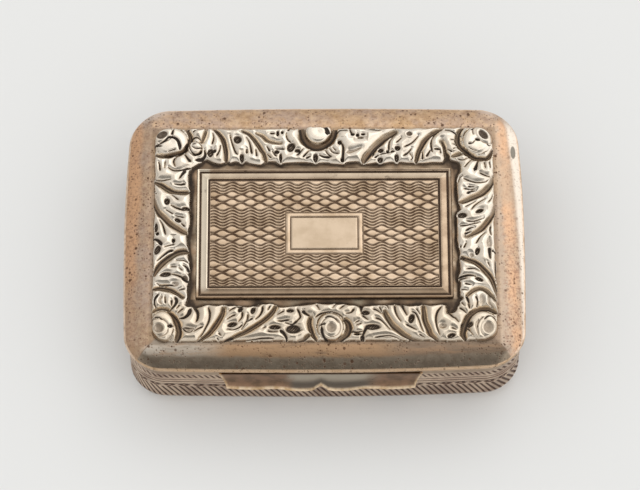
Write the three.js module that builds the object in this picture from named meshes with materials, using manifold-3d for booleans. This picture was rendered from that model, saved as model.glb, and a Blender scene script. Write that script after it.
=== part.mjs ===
// A small silver vinaigrette: a box with a hinged lid, a hinged pierced grille under it, and a
// scented sponge under the grille. Millimetres, +Z up, the origin on the surface it stands on, under
// the middle of the box. The front, with the thumbpiece, faces -Y, and both hinges lie at the back.
import * as THREE from "three";
import { mergeVertices } from "three/addons/utils/BufferGeometryUtils.js";
import Module from "manifold-3d";

const wasm = await Module();
wasm.setup();

// Overall plan, measured on the rim that stands out round the lid
const LID_LENGTH = 40.0;
const LID_WIDTH = 29.5;
const CORNER_RADIUS = 3.9;
const SIDE_BOW = 0.3; // how far the middle of each side stands out past its ends
const SIDE_TAPER = 0.35; // how much each side is drawn in at the back
const FRONT_DRAW = 0.3; // how much the front is drawn in at its right end

// Heights above the table
const WALL_BOTTOM = 2.1;
const PARTING_HEIGHT = 4.6;
const LIP_BOTTOM = 8.0;
const LIP_HEIGHT = 0.5;
const TOP_HEIGHT = 9.3; // the flat platform that the ornament stands on

// Sheet silver and the clearances between pieces
const SHEET = 0.5;
const SOLDER_GAP = 0.03; // between pieces that are soldered together
const LID_CLEARANCE = 0.12; // between the lid's wall and the collar that it closes over
const PARTING_GAP = 0.04;

// The rim and the walls
const WALL_INSET = 0.43; // from the rim's outline to the walls' outer face
const MARGIN_WIDTH = 2.85; // the plain sloping margin round the lid's top
const MARGIN_CORNER = 0.6; // its corner radius where it meets the border
const MARGIN_START = 0.18; // from the rim's outline to where the margin begins
const MARGIN_STEP = 0.12; // its upright edge on the rim
const BASE_MARGIN = 3.4; // the rounded margin under the case

// The collar and the ledge inside the case
const COLLAR_THICKNESS = 0.35;
const COLLAR_RISE = 1.0; // above the parting plane
const LEDGE_WIDTH = 0.85;
const LEDGE_THICKNESS = 0.5;
const LEDGE_DROP = 0.3; // from the parting plane down to the ledge's top

// The lid's hinge, along X at the back
const HINGE_LENGTH = 26.0;
const KNUCKLE_RADIUS = 0.7;
const KNUCKLE_COUNT = 7;
const KNUCKLE_GAP = 0.12;
const HINGE_OFFSET = 0.13; // from the back wall's face out to the axis
const PIN_RADIUS = 0.32;
const PIN_CLEARANCE = 0.05;
const BEARER_HEIGHT = 1.15;
const BEARER_INNER_INSET = 1.25;
const BEARER_OUTER_INSET = 0.6;

// The grille and its hinge
const GRILLE_THICKNESS = 0.35;
const GRILLE_CLEARANCE = 0.32;
const GRILLE_KNUCKLE_RADIUS = 0.5;
const GRILLE_PIN_RADIUS = 0.22;
const GRILLE_HINGE_LENGTH = 12.0;
const GRILLE_KNUCKLE_COUNT = 3;
const GRILLE_AXIS_INSET = 2.0; // from the rim's outline in to the grille's axis
const PIERCING_COLUMNS = 5;
const PIERCING_ROWS = 3;
const PIERCING_LEAVES = 6;
const PIERCING_EYE = 0.4; // radius of the hole in the middle of each flower
const PIERCING_BAR = 0.35; // the metal left between two holes
const PIERCING_BORDER = 0.9; // the plain edge of the grille
const LEAF_HOLE_WIDTH = 1.3;
const TAB_WIDTH = 2.4;
const TAB_RISE = 0.45;
const TAB_DEPTH = 0.5;

// The ornament on the lid
const BORDER_WIDTH = 3.95;
const BORDER_CORNER = 1.5;
const LEAF_FOOT = 0.24; // height of a leaf's edge
const LEAF_SWELL = 0.4; // how far a leaf's middle rises above its edge
const LEAF_ROUNDING = 0.42; // distance over which a leaf rounds up
const CHANNEL_DEPTH = 0.3;
const SCROLL_HEIGHT = 0.84;
const FRAME_GAP_ENDS = 0.45; // the dark channel between the border and the frame
const FRAME_GAP_SIDES = 0.7;
const FRAME_WIDTH = 1.36;
const FRAME_HEIGHT = 0.42;
const PANEL_THICKNESS = 0.22;
const RESERVE_LENGTH = 7.5; // the plain reserve in the middle of the panel
const RESERVE_WIDTH = 4.65;
const RESERVE_RISE = 0.07;

// The thumbpiece under the rim at the front
const THUMB_LENGTH = 20.0;
const THUMB_OFFSET = -0.4; // it sits a little left of the middle
const THUMB_THICKNESS = 0.35;
const THUMB_DROP = 0.1; // from the rim down to its top
const THUMB_LIFT = 0.2; // from the parting plane up to its lowest points
const THUMB_REACH = 0.4; // how far its lower edge stands out past the rim
const THUMB_TAPER = 0.8; // how much each end slants in towards the bottom
const THUMB_NOTCH = 0.75; // half the width of the pointed notch in its lower edge
const THUMB_NOTCH_RISE = 1.3;
const THUMB_WAVE = 0.5; // how far its lower edge rises from the notch to each end

// The sponge
const SPONGE_CLEARANCE = 0.3;
const SPONGE_CROWN = 0.5; // how far its middle swells above its edge

// Facets: steps round each corner and along each side of an outline
const CORNER_STEPS = 6;
const SIDE_STEPS = 4;
const LONG_STEPS = 50; // along each long side of the leaf border
const SHORT_STEPS = 36;
const BASE_STEPS = 4;
const MARGIN_STEPS = 4;
const ROUND_STEPS = 16;

const BRIGHT = { color: 0xd8cfc2, roughness: 0.28, metalness: 1.0 };
const WARM = { color: 0xc9ab8c, roughness: 0.34, metalness: 1.0 };
const GILT = { color: 0xd9b36a, roughness: 0.3, metalness: 1.0 };
const SPONGE = { color: 0xc59a5b, roughness: 0.95, metalness: 0.0 };

const halfLength = LID_LENGTH / 2;
const halfWidth = LID_WIDTH / 2;
const wallInner = WALL_INSET + SHEET;
const collarInner = wallInner + LID_CLEARANCE + COLLAR_THICKNESS;
const lipTop = LIP_BOTTOM + LIP_HEIGHT;
const ledgeTop = PARTING_HEIGHT - LEDGE_DROP;
const ledgeBottom = ledgeTop - LEDGE_THICKNESS;

// A rounded rectangle inset from the rim's outline, as a loop of points seen counter-clockwise from
// above. Every loop has as many points, so that loops can be skinned one to the next. A bowed one is
// also drawn in a little towards the back and at the front right, as the raised box is.
function loopOf(halfX, halfY, radius, bow, z, longSteps = SIDE_STEPS, shortSteps = SIDE_STEPS) {
  const points = [];
  const centres = [[1, 1], [-1, 1], [-1, -1], [1, -1]];
  centres.forEach(([sx, sy], corner) => {
    for (let i = 0; i <= CORNER_STEPS; i++) {
      const angle = (corner + i / CORNER_STEPS) * (Math.PI / 2);
      points.push([
        sx * (halfX - radius) + radius * Math.cos(angle),
        sy * (halfY - radius) + radius * Math.sin(angle),
      ]);
    }
    const [nx, ny] = centres[(corner + 1) % 4];
    const end = (corner + 1) * (Math.PI / 2);
    const from = points[points.length - 1];
    const to = [
      nx * (halfX - radius) + radius * Math.cos(end),
      ny * (halfY - radius) + radius * Math.sin(end),
    ];
    const steps = corner % 2 ? shortSteps : longSteps;
    for (let i = 1; i < steps; i++) {
      const t = i / steps;
      points.push([from[0] + (to[0] - from[0]) * t, from[1] + (to[1] - from[1]) * t]);
    }
  });
  const uneven = bow / SIDE_BOW;
  return points.map(([x, y]) => {
    const back = Math.max(y / halfY, 0);
    const front = Math.max(-y / halfY, 0);
    const right = Math.max(x / halfX, 0);
    return [
      x - Math.sign(x) * (bow * (y / halfY) ** 2 + uneven * SIDE_TAPER * back ** 2),
      y - Math.sign(y) * bow * (x / halfX) ** 2 + uneven * FRONT_DRAW * front * right ** 2,
      z,
    ];
  });
}

// The box's own outline, moved in by inset.
function inset(distance, z, radius = Math.max(CORNER_RADIUS - distance, 0.3)) {
  return loopOf(halfLength - distance, halfWidth - distance, radius, SIDE_BOW, z);
}

function geometryOf(positions, index) {
  const geometry = new THREE.BufferGeometry();
  geometry.setAttribute("position", new THREE.Float32BufferAttribute(positions, 3));
  geometry.setIndex(index);
  return geometry;
}

// Skins a stack of loops. A ring joins the last loop to the first; otherwise both ends are capped.
function skin(loops, ring) {
  const count = loops[0].length;
  const positions = loops.flat(2);
  const index = [];
  const strips = ring ? loops.length : loops.length - 1;
  for (let k = 0; k < strips; k++) {
    const below = k * count;
    const above = ((k + 1) % loops.length) * count;
    for (let i = 0; i < count; i++) {
      const j = (i + 1) % count;
      index.push(below + i, below + j, above + j, below + i, above + j, above + i);
    }
  }
  if (!ring) {
    const centre = (loop) => loop[0].map((_, axis) => loop.reduce((sum, p) => sum + p[axis], 0) / count);
    const bottom = positions.length / 3;
    positions.push(...centre(loops[0]), ...centre(loops[loops.length - 1]));
    const last = (loops.length - 1) * count;
    for (let i = 0; i < count; i++) {
      const j = (i + 1) % count;
      index.push(bottom, j, i, bottom + 1, last + i, last + j);
    }
  }
  const geometry = geometryOf(positions, index);
  return volumeOf(geometry) < 0 ? geometryOf(positions, index.reverse()) : geometry;
}

function volumeOf(geometry) {
  const p = geometry.getAttribute("position");
  const corner = [new THREE.Vector3(), new THREE.Vector3(), new THREE.Vector3()];
  let volume = 0;
  for (let i = 0; i < geometry.index.count; i += 3) {
    corner.forEach((v, k) => v.fromBufferAttribute(p, geometry.index.getX(i + k)));
    volume += corner[0].dot(corner[1].cross(corner[2])) / 6;
  }
  return volume;
}

// A band that runs round the box: its section is a list of [inset, height] pairs.
function band(section) {
  return skin(section.map(([distance, z]) => inset(distance, z)), true);
}

function toSolid(geometry) {
  const plain = geometry.index ? geometry.toNonIndexed() : geometry.clone();
  plain.deleteAttribute("normal");
  plain.deleteAttribute("uv");
  const merged = mergeVertices(plain, 1e-4);
  return new wasm.Manifold(new wasm.Mesh({
    numProp: 3,
    vertProperties: new Float32Array(merged.getAttribute("position").array),
    triVerts: new Uint32Array(merged.index.array),
  }));
}

function toGeometry(solid) {
  const mesh = solid.getMesh();
  return geometryOf(Array.from(mesh.vertProperties), Array.from(mesh.triVerts));
}

function cut(geometry, ...cutters) {
  return toGeometry(cutters.reduce((rest, cutter) => rest.subtract(toSolid(cutter)), toSolid(geometry)));
}

function join(geometry, ...others) {
  return toGeometry(others.reduce((whole, other) => whole.add(toSolid(other)), toSolid(geometry)));
}

function block(low, high) {
  const size = high.map((value, axis) => value - low[axis]);
  return new THREE.BoxGeometry(...size).translate(...high.map((value, axis) => (value + low[axis]) / 2));
}

// Extrudes a shape drawn in Y and Z along X, between two values of X.
function alongX(shape, from, to) {
  const basis = new THREE.Matrix4().makeBasis(
    new THREE.Vector3(0, 1, 0), new THREE.Vector3(0, 0, 1), new THREE.Vector3(1, 0, 0));
  return new THREE.ExtrudeGeometry(shape, { depth: to - from, bevelEnabled: false, curveSegments: 8 })
    .applyMatrix4(basis).translate(from, 0, 0);
}

function tubeAlongX(outer, bore, length) {
  const half = length / 2;
  const profile = [[bore, -half], [outer, -half], [outer, half], [bore, half], [bore, -half]];
  return new THREE.LatheGeometry(profile.map(([r, y]) => new THREE.Vector2(r, y)), ROUND_STEPS)
    .rotateZ(Math.PI / 2);
}

function rodAlongX(radius, length) {
  return new THREE.CylinderGeometry(radius, radius, length, ROUND_STEPS).rotateZ(Math.PI / 2);
}

const box = new THREE.Group();

function add(parent, name, geometry, finish) {
  geometry.computeVertexNormals();
  const mesh = new THREE.Mesh(geometry, new THREE.MeshStandardMaterial(finish));
  mesh.name = name;
  parent.add(mesh);
  return mesh;
}

// Where the lid's hinge cuts through the back of a wall or collar.
const axisY = halfWidth - WALL_INSET + HINGE_OFFSET;
const bearerInner = halfWidth - BEARER_INNER_INSET;
const bearerOuter = halfWidth - BEARER_OUTER_INSET;
const bearerLow = PARTING_HEIGHT - PARTING_GAP - BEARER_HEIGHT;
const bearerHigh = PARTING_HEIGHT + PARTING_GAP + BEARER_HEIGHT;
const knucklePitch = HINGE_LENGTH / KNUCKLE_COUNT;

function hingeNotch(inner) {
  const reach = HINGE_LENGTH / 2 + 2 * KNUCKLE_GAP;
  return block(
    [-reach, inner, bearerLow - SOLDER_GAP],
    [reach, halfWidth + KNUCKLE_RADIUS, bearerHigh + SOLDER_GAP]);
}

// A strip with a round channel in one edge, which carries the knuckles: below the axis for the
// case, above it for the lid.
function hingeBearer(direction) {
  const groove = KNUCKLE_RADIUS + SOLDER_GAP;
  const near = PARTING_HEIGHT + direction * PARTING_GAP;
  const far = near + direction * BEARER_HEIGHT;
  const inner = axisY - Math.sqrt(groove ** 2 - PARTING_GAP ** 2);
  const rise = Math.sqrt(groove ** 2 - (axisY - bearerOuter) ** 2);
  const shape = new THREE.Shape();
  shape.moveTo(bearerInner, near);
  shape.lineTo(inner, near);
  const start = Math.atan2(direction * PARTING_GAP, inner - axisY);
  const end = Math.atan2(direction * rise, bearerOuter - axisY);
  shape.absarc(axisY, PARTING_HEIGHT, groove, start, end, direction > 0);
  shape.lineTo(bearerOuter, far);
  shape.lineTo(bearerInner, far);
  return alongX(shape, -HINGE_LENGTH / 2, HINGE_LENGTH / 2);
}

// The section of the rounded bottom, a quarter of an ellipse, moved inwards by depth.
function baseCurve(depth) {
  const rim = WALL_BOTTOM - SOLDER_GAP;
  const reach = BASE_MARGIN - WALL_INSET - depth;
  return Array.from({ length: BASE_STEPS + 1 }, (_, i) => {
    const angle = (i / BASE_STEPS) * (Math.PI / 2);
    return [BASE_MARGIN - reach * Math.sin(angle), rim - (rim - depth) * Math.cos(angle)];
  });
}

function buildCase(group) {
  const wall = band([
    [WALL_INSET, WALL_BOTTOM], [WALL_INSET, PARTING_HEIGHT - PARTING_GAP],
    [wallInner, PARTING_HEIGHT - PARTING_GAP], [wallInner, WALL_BOTTOM],
  ]);
  add(group, "case_wall", cut(wall, hingeNotch(bearerInner - SOLDER_GAP)), BRIGHT);

  const base = [...baseCurve(0), ...baseCurve(SHEET).reverse()].map(([distance, z]) => inset(distance, z));
  add(group, "case_base", skin(base, false), BRIGHT);

  const shoulder = wallInner + SOLDER_GAP;
  const fitted = wallInner + LID_CLEARANCE;
  const collarTop = PARTING_HEIGHT + COLLAR_RISE;
  const collar = band([
    [shoulder, WALL_BOTTOM], [shoulder, PARTING_HEIGHT - 2 * PARTING_GAP],
    [fitted, PARTING_HEIGHT + PARTING_GAP], [fitted, collarTop],
    [collarInner, collarTop], [collarInner, WALL_BOTTOM],
  ]);
  add(group, "case_collar", cut(collar, hingeNotch(halfWidth - collarInner - SHEET)), GILT);

  const ledgeOuter = collarInner + SOLDER_GAP;
  const ledge = band([
    [ledgeOuter, ledgeBottom], [ledgeOuter, ledgeTop],
    [ledgeOuter + LEDGE_WIDTH, ledgeTop], [ledgeOuter + LEDGE_WIDTH, ledgeBottom],
  ]);
  const seat = block(
    [-GRILLE_HINGE_LENGTH / 2 - 1, grilleBackEdge() - LEDGE_WIDTH, ledgeBottom],
    [GRILLE_HINGE_LENGTH / 2 + 1, halfWidth - ledgeOuter - SIDE_BOW, ledgeTop]);
  add(group, "grille_ledge", join(ledge, seat), GILT);

  add(group, "case_hinge_bearer", hingeBearer(-1), BRIGHT);
}

// The knuckles of the lid's hinge take turns: the odd ones are the case's, the even ones the lid's.
function buildHinge(caseGroup, lidGroup) {
  for (let i = 0; i < KNUCKLE_COUNT; i++) {
    const knuckle = tubeAlongX(KNUCKLE_RADIUS, PIN_RADIUS + PIN_CLEARANCE, knucklePitch - KNUCKLE_GAP);
    const onCase = i % 2 === 0;
    const name = (onCase ? "case_hinge_knuckle_" : "lid_hinge_knuckle_") + (Math.floor(i / 2) + 1);
    const mesh = add(onCase ? caseGroup : lidGroup, name, knuckle, BRIGHT);
    mesh.position.set((i - (KNUCKLE_COUNT - 1) / 2) * knucklePitch, axisY, PARTING_HEIGHT);
  }
  const pin = add(caseGroup, "lid_hinge_pin", rodAlongX(PIN_RADIUS, HINGE_LENGTH), WARM);
  pin.position.set(0, axisY, PARTING_HEIGHT);
}

// The grille's hinge stands on the ledge, just in front of the collar.
const grilleAxisY = halfWidth - GRILLE_AXIS_INSET;
const grilleAxisZ = ledgeTop + GRILLE_KNUCKLE_RADIUS + 2 * SOLDER_GAP;

function grilleBackEdge() {
  return grilleAxisY - GRILLE_KNUCKLE_RADIUS - SOLDER_GAP;
}

function buildGrilleHinge(caseGroup, grilleGroup) {
  const pitch = GRILLE_HINGE_LENGTH / GRILLE_KNUCKLE_COUNT;
  for (let i = 0; i < GRILLE_KNUCKLE_COUNT; i++) {
    const bore = GRILLE_PIN_RADIUS + PIN_CLEARANCE;
    const knuckle = tubeAlongX(GRILLE_KNUCKLE_RADIUS, bore, pitch - KNUCKLE_GAP);
    const onCase = i % 2 === 0;
    const name = onCase ? "grille_case_knuckle_" + (i / 2 + 1) : "grille_knuckle_" + (i + 1) / 2;
    const mesh = add(onCase ? caseGroup : grilleGroup, name, knuckle, GILT);
    mesh.position.set((i - (GRILLE_KNUCKLE_COUNT - 1) / 2) * pitch, grilleAxisY, grilleAxisZ);
  }
  const pin = add(caseGroup, "grille_hinge_pin", rodAlongX(GRILLE_PIN_RADIUS, GRILLE_HINGE_LENGTH), GILT);
  pin.position.set(0, grilleAxisY, grilleAxisZ);
}

// One pierced leaf: a pointed drop with a round head, lying along its angle.
function leafHole(x, y, angle, length, width) {
  const shape = new THREE.Shape();
  const place = (along, across) => [
    x + along * Math.cos(angle) - across * Math.sin(angle),
    y + along * Math.sin(angle) + across * Math.cos(angle),
  ];
  shape.moveTo(...place(0, 0));
  shape.quadraticCurveTo(...place(length * 0.55, -width * 0.75), ...place(length, 0));
  shape.quadraticCurveTo(...place(length * 0.55, width * 0.75), ...place(0, 0));
  return shape;
}

function roundHole(x, y, radius) {
  const shape = new THREE.Shape();
  shape.absarc(x, y, radius, 0, Math.PI * 2);
  return shape;
}

// The piercing: rows of flowers, each a round hole in a ring of pointed leaves. The rows fill the
// plate from its plain edge to the hinge.
function piercing(halfX, front, back) {
  const pitchX = (2 * (halfX - PIERCING_BORDER)) / PIERCING_COLUMNS;
  const pitchY = (back - front - 2 * PIERCING_BORDER) / PIERCING_ROWS;
  const start = PIERCING_EYE + PIERCING_BAR;
  const holes = [];
  for (let column = 0; column < PIERCING_COLUMNS; column++) {
    for (let row = 0; row < PIERCING_ROWS; row++) {
      const x = (column - (PIERCING_COLUMNS - 1) / 2) * pitchX;
      const y = front + PIERCING_BORDER + (row + 0.5) * pitchY;
      holes.push(roundHole(x, y, PIERCING_EYE));
      for (let i = 0; i < PIERCING_LEAVES; i++) {
        const angle = (i / PIERCING_LEAVES) * 2 * Math.PI;
        const [dx, dy] = [Math.cos(angle), Math.sin(angle)];
        const room = Math.min(pitchX / 2, pitchY / 2) - PIERCING_BAR / 2;
        holes.push(leafHole(x + start * dx, y + start * dy, angle, room - start, LEAF_HOLE_WIDTH));
      }
    }
  }
  return holes;
}

function buildGrille(group) {
  const edge = collarInner + GRILLE_CLEARANCE;
  const back = grilleBackEdge() - SOLDER_GAP;
  const front = -(halfWidth - edge);
  const bottom = ledgeTop + SOLDER_GAP;
  const full = new THREE.Shape(inset(edge, 0).map(([x, y]) => new THREE.Vector2(x, y)));
  const plate = new THREE.ExtrudeGeometry(full, { depth: GRILLE_THICKNESS, bevelEnabled: false })
    .translate(0, 0, bottom);
  const shapes = piercing(halfLength - edge - SIDE_BOW, front + SIDE_BOW, back);
  const holes = new THREE.ExtrudeGeometry(shapes, {
    depth: 3 * GRILLE_THICKNESS, bevelEnabled: false, curveSegments: 2,
  }).translate(0, 0, bottom - GRILLE_THICKNESS);
  const behind = block([-halfLength, back, 0], [halfLength, halfWidth, TOP_HEIGHT]);
  const tab = block(
    [-TAB_WIDTH / 2, front + SOLDER_GAP, bottom],
    [TAB_WIDTH / 2, front + TAB_DEPTH, bottom + GRILLE_THICKNESS + TAB_RISE]);
  add(group, "grille_plate", join(cut(plate, behind, holes), tab), GILT);
}

// The sponge follows the rounded bottom, stays inside the collar and swells up under the grille.
function buildSponge(group) {
  const side = collarInner + SPONGE_CLEARANCE;
  const edgeTop = ledgeBottom - SPONGE_CLEARANCE;
  const crown = edgeTop + SPONGE_CROWN;
  const foot = baseCurve(SHEET + SPONGE_CLEARANCE).filter(([distance]) => distance > side);
  const inner = collarInner + LEDGE_WIDTH + SPONGE_CLEARANCE;
  const section = [...foot, [side, WALL_BOTTOM], [side, edgeTop - SPONGE_CLEARANCE], [inner, edgeTop],
    [2 * inner, edgeTop + 0.7 * SPONGE_CROWN], [3 * inner, crown]];
  add(group, "sponge", skin(section.map(([distance, z]) => inset(distance, z)), false), SPONGE);
}

// The height of the lid's plain margin, which is steepest at the rim and level at the border.
function marginHeight(distance) {
  const share = (MARGIN_WIDTH - distance) / (MARGIN_WIDTH - MARGIN_START);
  return TOP_HEIGHT - (TOP_HEIGHT - lipTop - MARGIN_STEP) * share ** 2;
}

function buildLid(group) {
  const wallLow = PARTING_HEIGHT + PARTING_GAP;
  const wallHigh = LIP_BOTTOM - SOLDER_GAP;
  const wall = band([
    [WALL_INSET, wallLow], [WALL_INSET, wallHigh], [wallInner, wallHigh], [wallInner, wallLow],
  ]);
  add(group, "lid_wall", cut(wall, hingeNotch(bearerInner - SOLDER_GAP)), BRIGHT);

  const middle = LIP_BOTTOM + LIP_HEIGHT / 2;
  add(group, "lid_rim", band([
    [wallInner, LIP_BOTTOM], [0.35, LIP_BOTTOM], [0.1, LIP_BOTTOM + 0.08], [0, middle],
    [0.1, lipTop - 0.08], [0.35, lipTop], [wallInner, lipTop],
  ]), WARM);

  // The cushioned top: a plain margin that rolls down to the rim, round a flat platform
  const edge = lipTop + SOLDER_GAP;
  const under = wallInner + SOLDER_GAP;
  const steps = Array.from({ length: MARGIN_STEPS + 1 }, (_, i) => i / MARGIN_STEPS);
  const inside = steps.map((t) => under + (MARGIN_WIDTH - under) * t)
    .map((distance) => [distance, marginHeight(distance) - SHEET]).reverse();
  const outside = steps.map((t) => MARGIN_START + (MARGIN_WIDTH - MARGIN_START) * t)
    .map((distance) => [distance, marginHeight(distance)]);
  const radius = (distance) => {
    const share = Math.min(distance / MARGIN_WIDTH, 1);
    return CORNER_RADIUS - distance - (CORNER_RADIUS - MARGIN_WIDTH - MARGIN_CORNER) * share ** 2;
  };
  const section = [...inside, [under, edge], [MARGIN_START, edge], ...outside];
  const loops = section.map(([distance, z]) => inset(distance, z, radius(distance)));
  add(group, "lid_top", skin(loops, false), WARM);

  add(group, "lid_hinge_bearer", hingeBearer(1), BRIGHT);
}

const borderOuterX = halfLength - MARGIN_WIDTH;
const borderOuterY = halfWidth - MARGIN_WIDTH;
const borderInnerX = borderOuterX - BORDER_WIDTH;
const borderInnerY = borderOuterY - BORDER_WIDTH;
const ornamentBase = TOP_HEIGHT + SOLDER_GAP;

// A straight-sided rectangular frame: its section is a list of [inset, height] pairs.
function frame(halfX, halfY, radius, section) {
  const loops = section.map(([distance, z]) =>
    loopOf(halfX - distance, halfY - distance, Math.max(radius - distance, 0.05), 0, z));
  return skin(loops, true);
}

// The channels between the leaves: the width, then the points that each runs through.
const CHANNELS = [
  [0.28, -8.2, 11.6, -7.1, 10.7, -6.3, 9.4, -5.8, 8],
  [0.6, 7.2, 11.4, 6, 10.6, 4.9, 9.4, 4, 8],
  [0.4, -17, 5.8, -15.7, 5, -15, 4.65, -13.6, 4.6],
  [0.45, -17.1, 4, -16.5, 2.4, -15.2, 1, -13.7, 0],
  [0.5, -16.9, -4.6, -16.1, -3.3, -14.7, -2.2, -13.5, -2.1],
  [0.35, -17, -6.2, -15.6, -6.2, -14, -7.1],
  [0.45, 17, 6.3, 16.4, 5, 15, 4, 13.6, 3.4],
  [0.4, 17.1, 3, 16.5, 1.5, 15.4, 0.2, 14.2, -0.4],
  [0.4, 13.6, -2.8, 14.9, -3.3, 16.1, -4.5, 17.1, -7],
  [0.35, -9.95, -8.3, -10.5, -9.8, -11.6, -11.3, -12.7, -12.1],
  [0.34, -4.8, -8.1, -5.6, -9.3, -7, -10.4, -9.9, -12],
  [0.4, 5.9, -8.7, 6.6, -10.1, 7.9, -11.3, 10, -12],
  [0.35, 9.75, -8.2, 9.9, -9.8, 10.5, -11.3, 11.3, -12],
  [0.3, -13.9, 11.8, -13.4, 10.8, -14.1, 9.3, -15.5, 8.8, -16.9, 8.9],
  [0.3, -11.1, 11.85, -10.2, 10.7, -9.85, 9.2, -9.8, 8],
  [0.45, -2.4, 11.8, -2.2, 10.5, -1.1, 9.5, -0.4, 9.35, 0.8, 10.2, 1.3, 11.8],
  [0.35, 11.9, 11.8, 10.6, 10.9, 9.8, 9.7, 9.25, 7.95],
  [0.4, 14, 11.9, 13.45, 10.6, 13.9, 9.4, 15.1, 8.4, 16.5, 8.4],
  [0.4, -15.3, -8.8, -14.4, -10.3, -14.5, -11.7],
  [0.3, -1.4, -9.4, -1.5, -10, -0.8, -11.9],
  [0.45, 2, -9.6, 2.4, -10.6, 1.2, -12],
  [0.45, 16.9, -8.9, 15.4, -8.5, 14.2, -9.4, 13.6, -11.2, 13.8, -11.9],
];

// The domed scrolls: middle and two radii.
const SCROLLS = [
  [-15.4, 10.3, 1.75, 1.6], [15.45, 10.3, 1.5, 1.6], [-16, -10.35, 1.2, 1.7], [15.6, -10.4, 1.45, 1.6],
  [-0.5, 10.95, 1.4, 1.2], [0.55, -10.45, 1.35, 1.5], [-13, 9.5, 0.75, 0.75],
];

function distanceTo(x, y, channel) {
  let best = Infinity;
  for (let i = 1; i + 3 < channel.length; i += 2) {
    const [ax, ay, bx, by] = channel.slice(i, i + 4);
    const length = (bx - ax) ** 2 + (by - ay) ** 2;
    const t = Math.min(Math.max(((x - ax) * (bx - ax) + (y - ay) * (by - ay)) / length, 0), 1);
    best = Math.min(best, Math.hypot(x - ax - t * (bx - ax), y - ay - t * (by - ay)));
  }
  return best;
}

// The height of the carved leaves and scrolls at a place, a distance in from the border's nearer edge.
function leafHeight(x, y, edge) {
  let near = edge;
  let channel = 0;
  for (const one of CHANNELS) {
    const beside = distanceTo(x, y, one) - one[0] / 2;
    near = Math.min(near, beside);
    channel = Math.max(channel, Math.min(1, 0.5 - beside / 0.3));
  }
  const rise = 1 - Math.exp(-((Math.max(near, 0) / LEAF_ROUNDING) ** 1.25));
  let height = LEAF_FOOT + LEAF_SWELL * rise;
  for (const [cx, cy, radiusX, radiusY] of SCROLLS) {
    const away = Math.hypot((x - cx) / radiusX, (y - cy) / radiusY);
    if (away < 1) {
      height = Math.max(height * 0.6, 0.3 + (SCROLL_HEIGHT - 0.3) * Math.sqrt(1 - away ** 2.6));
    }
  }
  return Math.max(height - CHANNEL_DEPTH * Math.max(channel, 0), 0.06);
}

// One carved ring of leaves and scrolls: rows of points from its outer edge in to its inner edge.
function buildBorder(group) {
  const rows = [[0, 0], [0, 0.6], [0.3, 1], [0.75, 1], [1.2, 1], [1.65, 1], [2.1, 1], [2.55, 1], [3, 1], [3.45, 1],
    [3.75, 1], [BORDER_WIDTH, 0.5], [BORDER_WIDTH, 0]];
  const loops = rows.map(([distance, share]) => {
    const edge = Math.min(distance, BORDER_WIDTH - distance);
    const radius = Math.max(BORDER_CORNER - distance, 0.05);
    return loopOf(borderOuterX - distance, borderOuterY - distance, radius, 0, ornamentBase, LONG_STEPS, SHORT_STEPS)
      .map(([x, y, z]) => [x, y, z + share * leafHeight(x, y, edge)]);
  });
  add(group, "leaf_border", skin(loops, true), BRIGHT);
}

const frameOuterX = borderInnerX - FRAME_GAP_ENDS;
const frameOuterY = borderInnerY - FRAME_GAP_SIDES;

function buildPanel(group) {
  const z = ornamentBase;
  add(group, "panel_frame", frame(frameOuterX, frameOuterY, 0.15, [
    [0, z], [0, z + 0.3], [0.08, z + FRAME_HEIGHT], [0.3, z + FRAME_HEIGHT], [0.4, z + 0.26],
    [0.55, z + 0.3], [FRAME_WIDTH - 0.2, z + 0.22], [FRAME_WIDTH - 0.12, z + 0.28],
    [FRAME_WIDTH, z + 0.26], [FRAME_WIDTH, z],
  ]), WARM);

  const panelX = frameOuterX - FRAME_WIDTH - SOLDER_GAP;
  const panelY = frameOuterY - FRAME_WIDTH - SOLDER_GAP;
  const plate = block([-panelX, -panelY, z], [panelX, panelY, z + PANEL_THICKNESS]);
  const reserve = block(
    [-RESERVE_LENGTH / 2, -RESERVE_WIDTH / 2, z + PANEL_THICKNESS / 2],
    [RESERVE_LENGTH / 2, RESERVE_WIDTH / 2, z + PANEL_THICKNESS + RESERVE_RISE]);
  const groove = frame(RESERVE_LENGTH / 2 - 0.35, RESERVE_WIDTH / 2 - 0.35, 0.1, [
    [0, z + PANEL_THICKNESS], [0, z + 1], [0.14, z + 1], [0.14, z + PANEL_THICKNESS],
  ]);
  add(group, "engine_turned_panel", cut(join(plate, reserve), groove), WARM);
}

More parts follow.
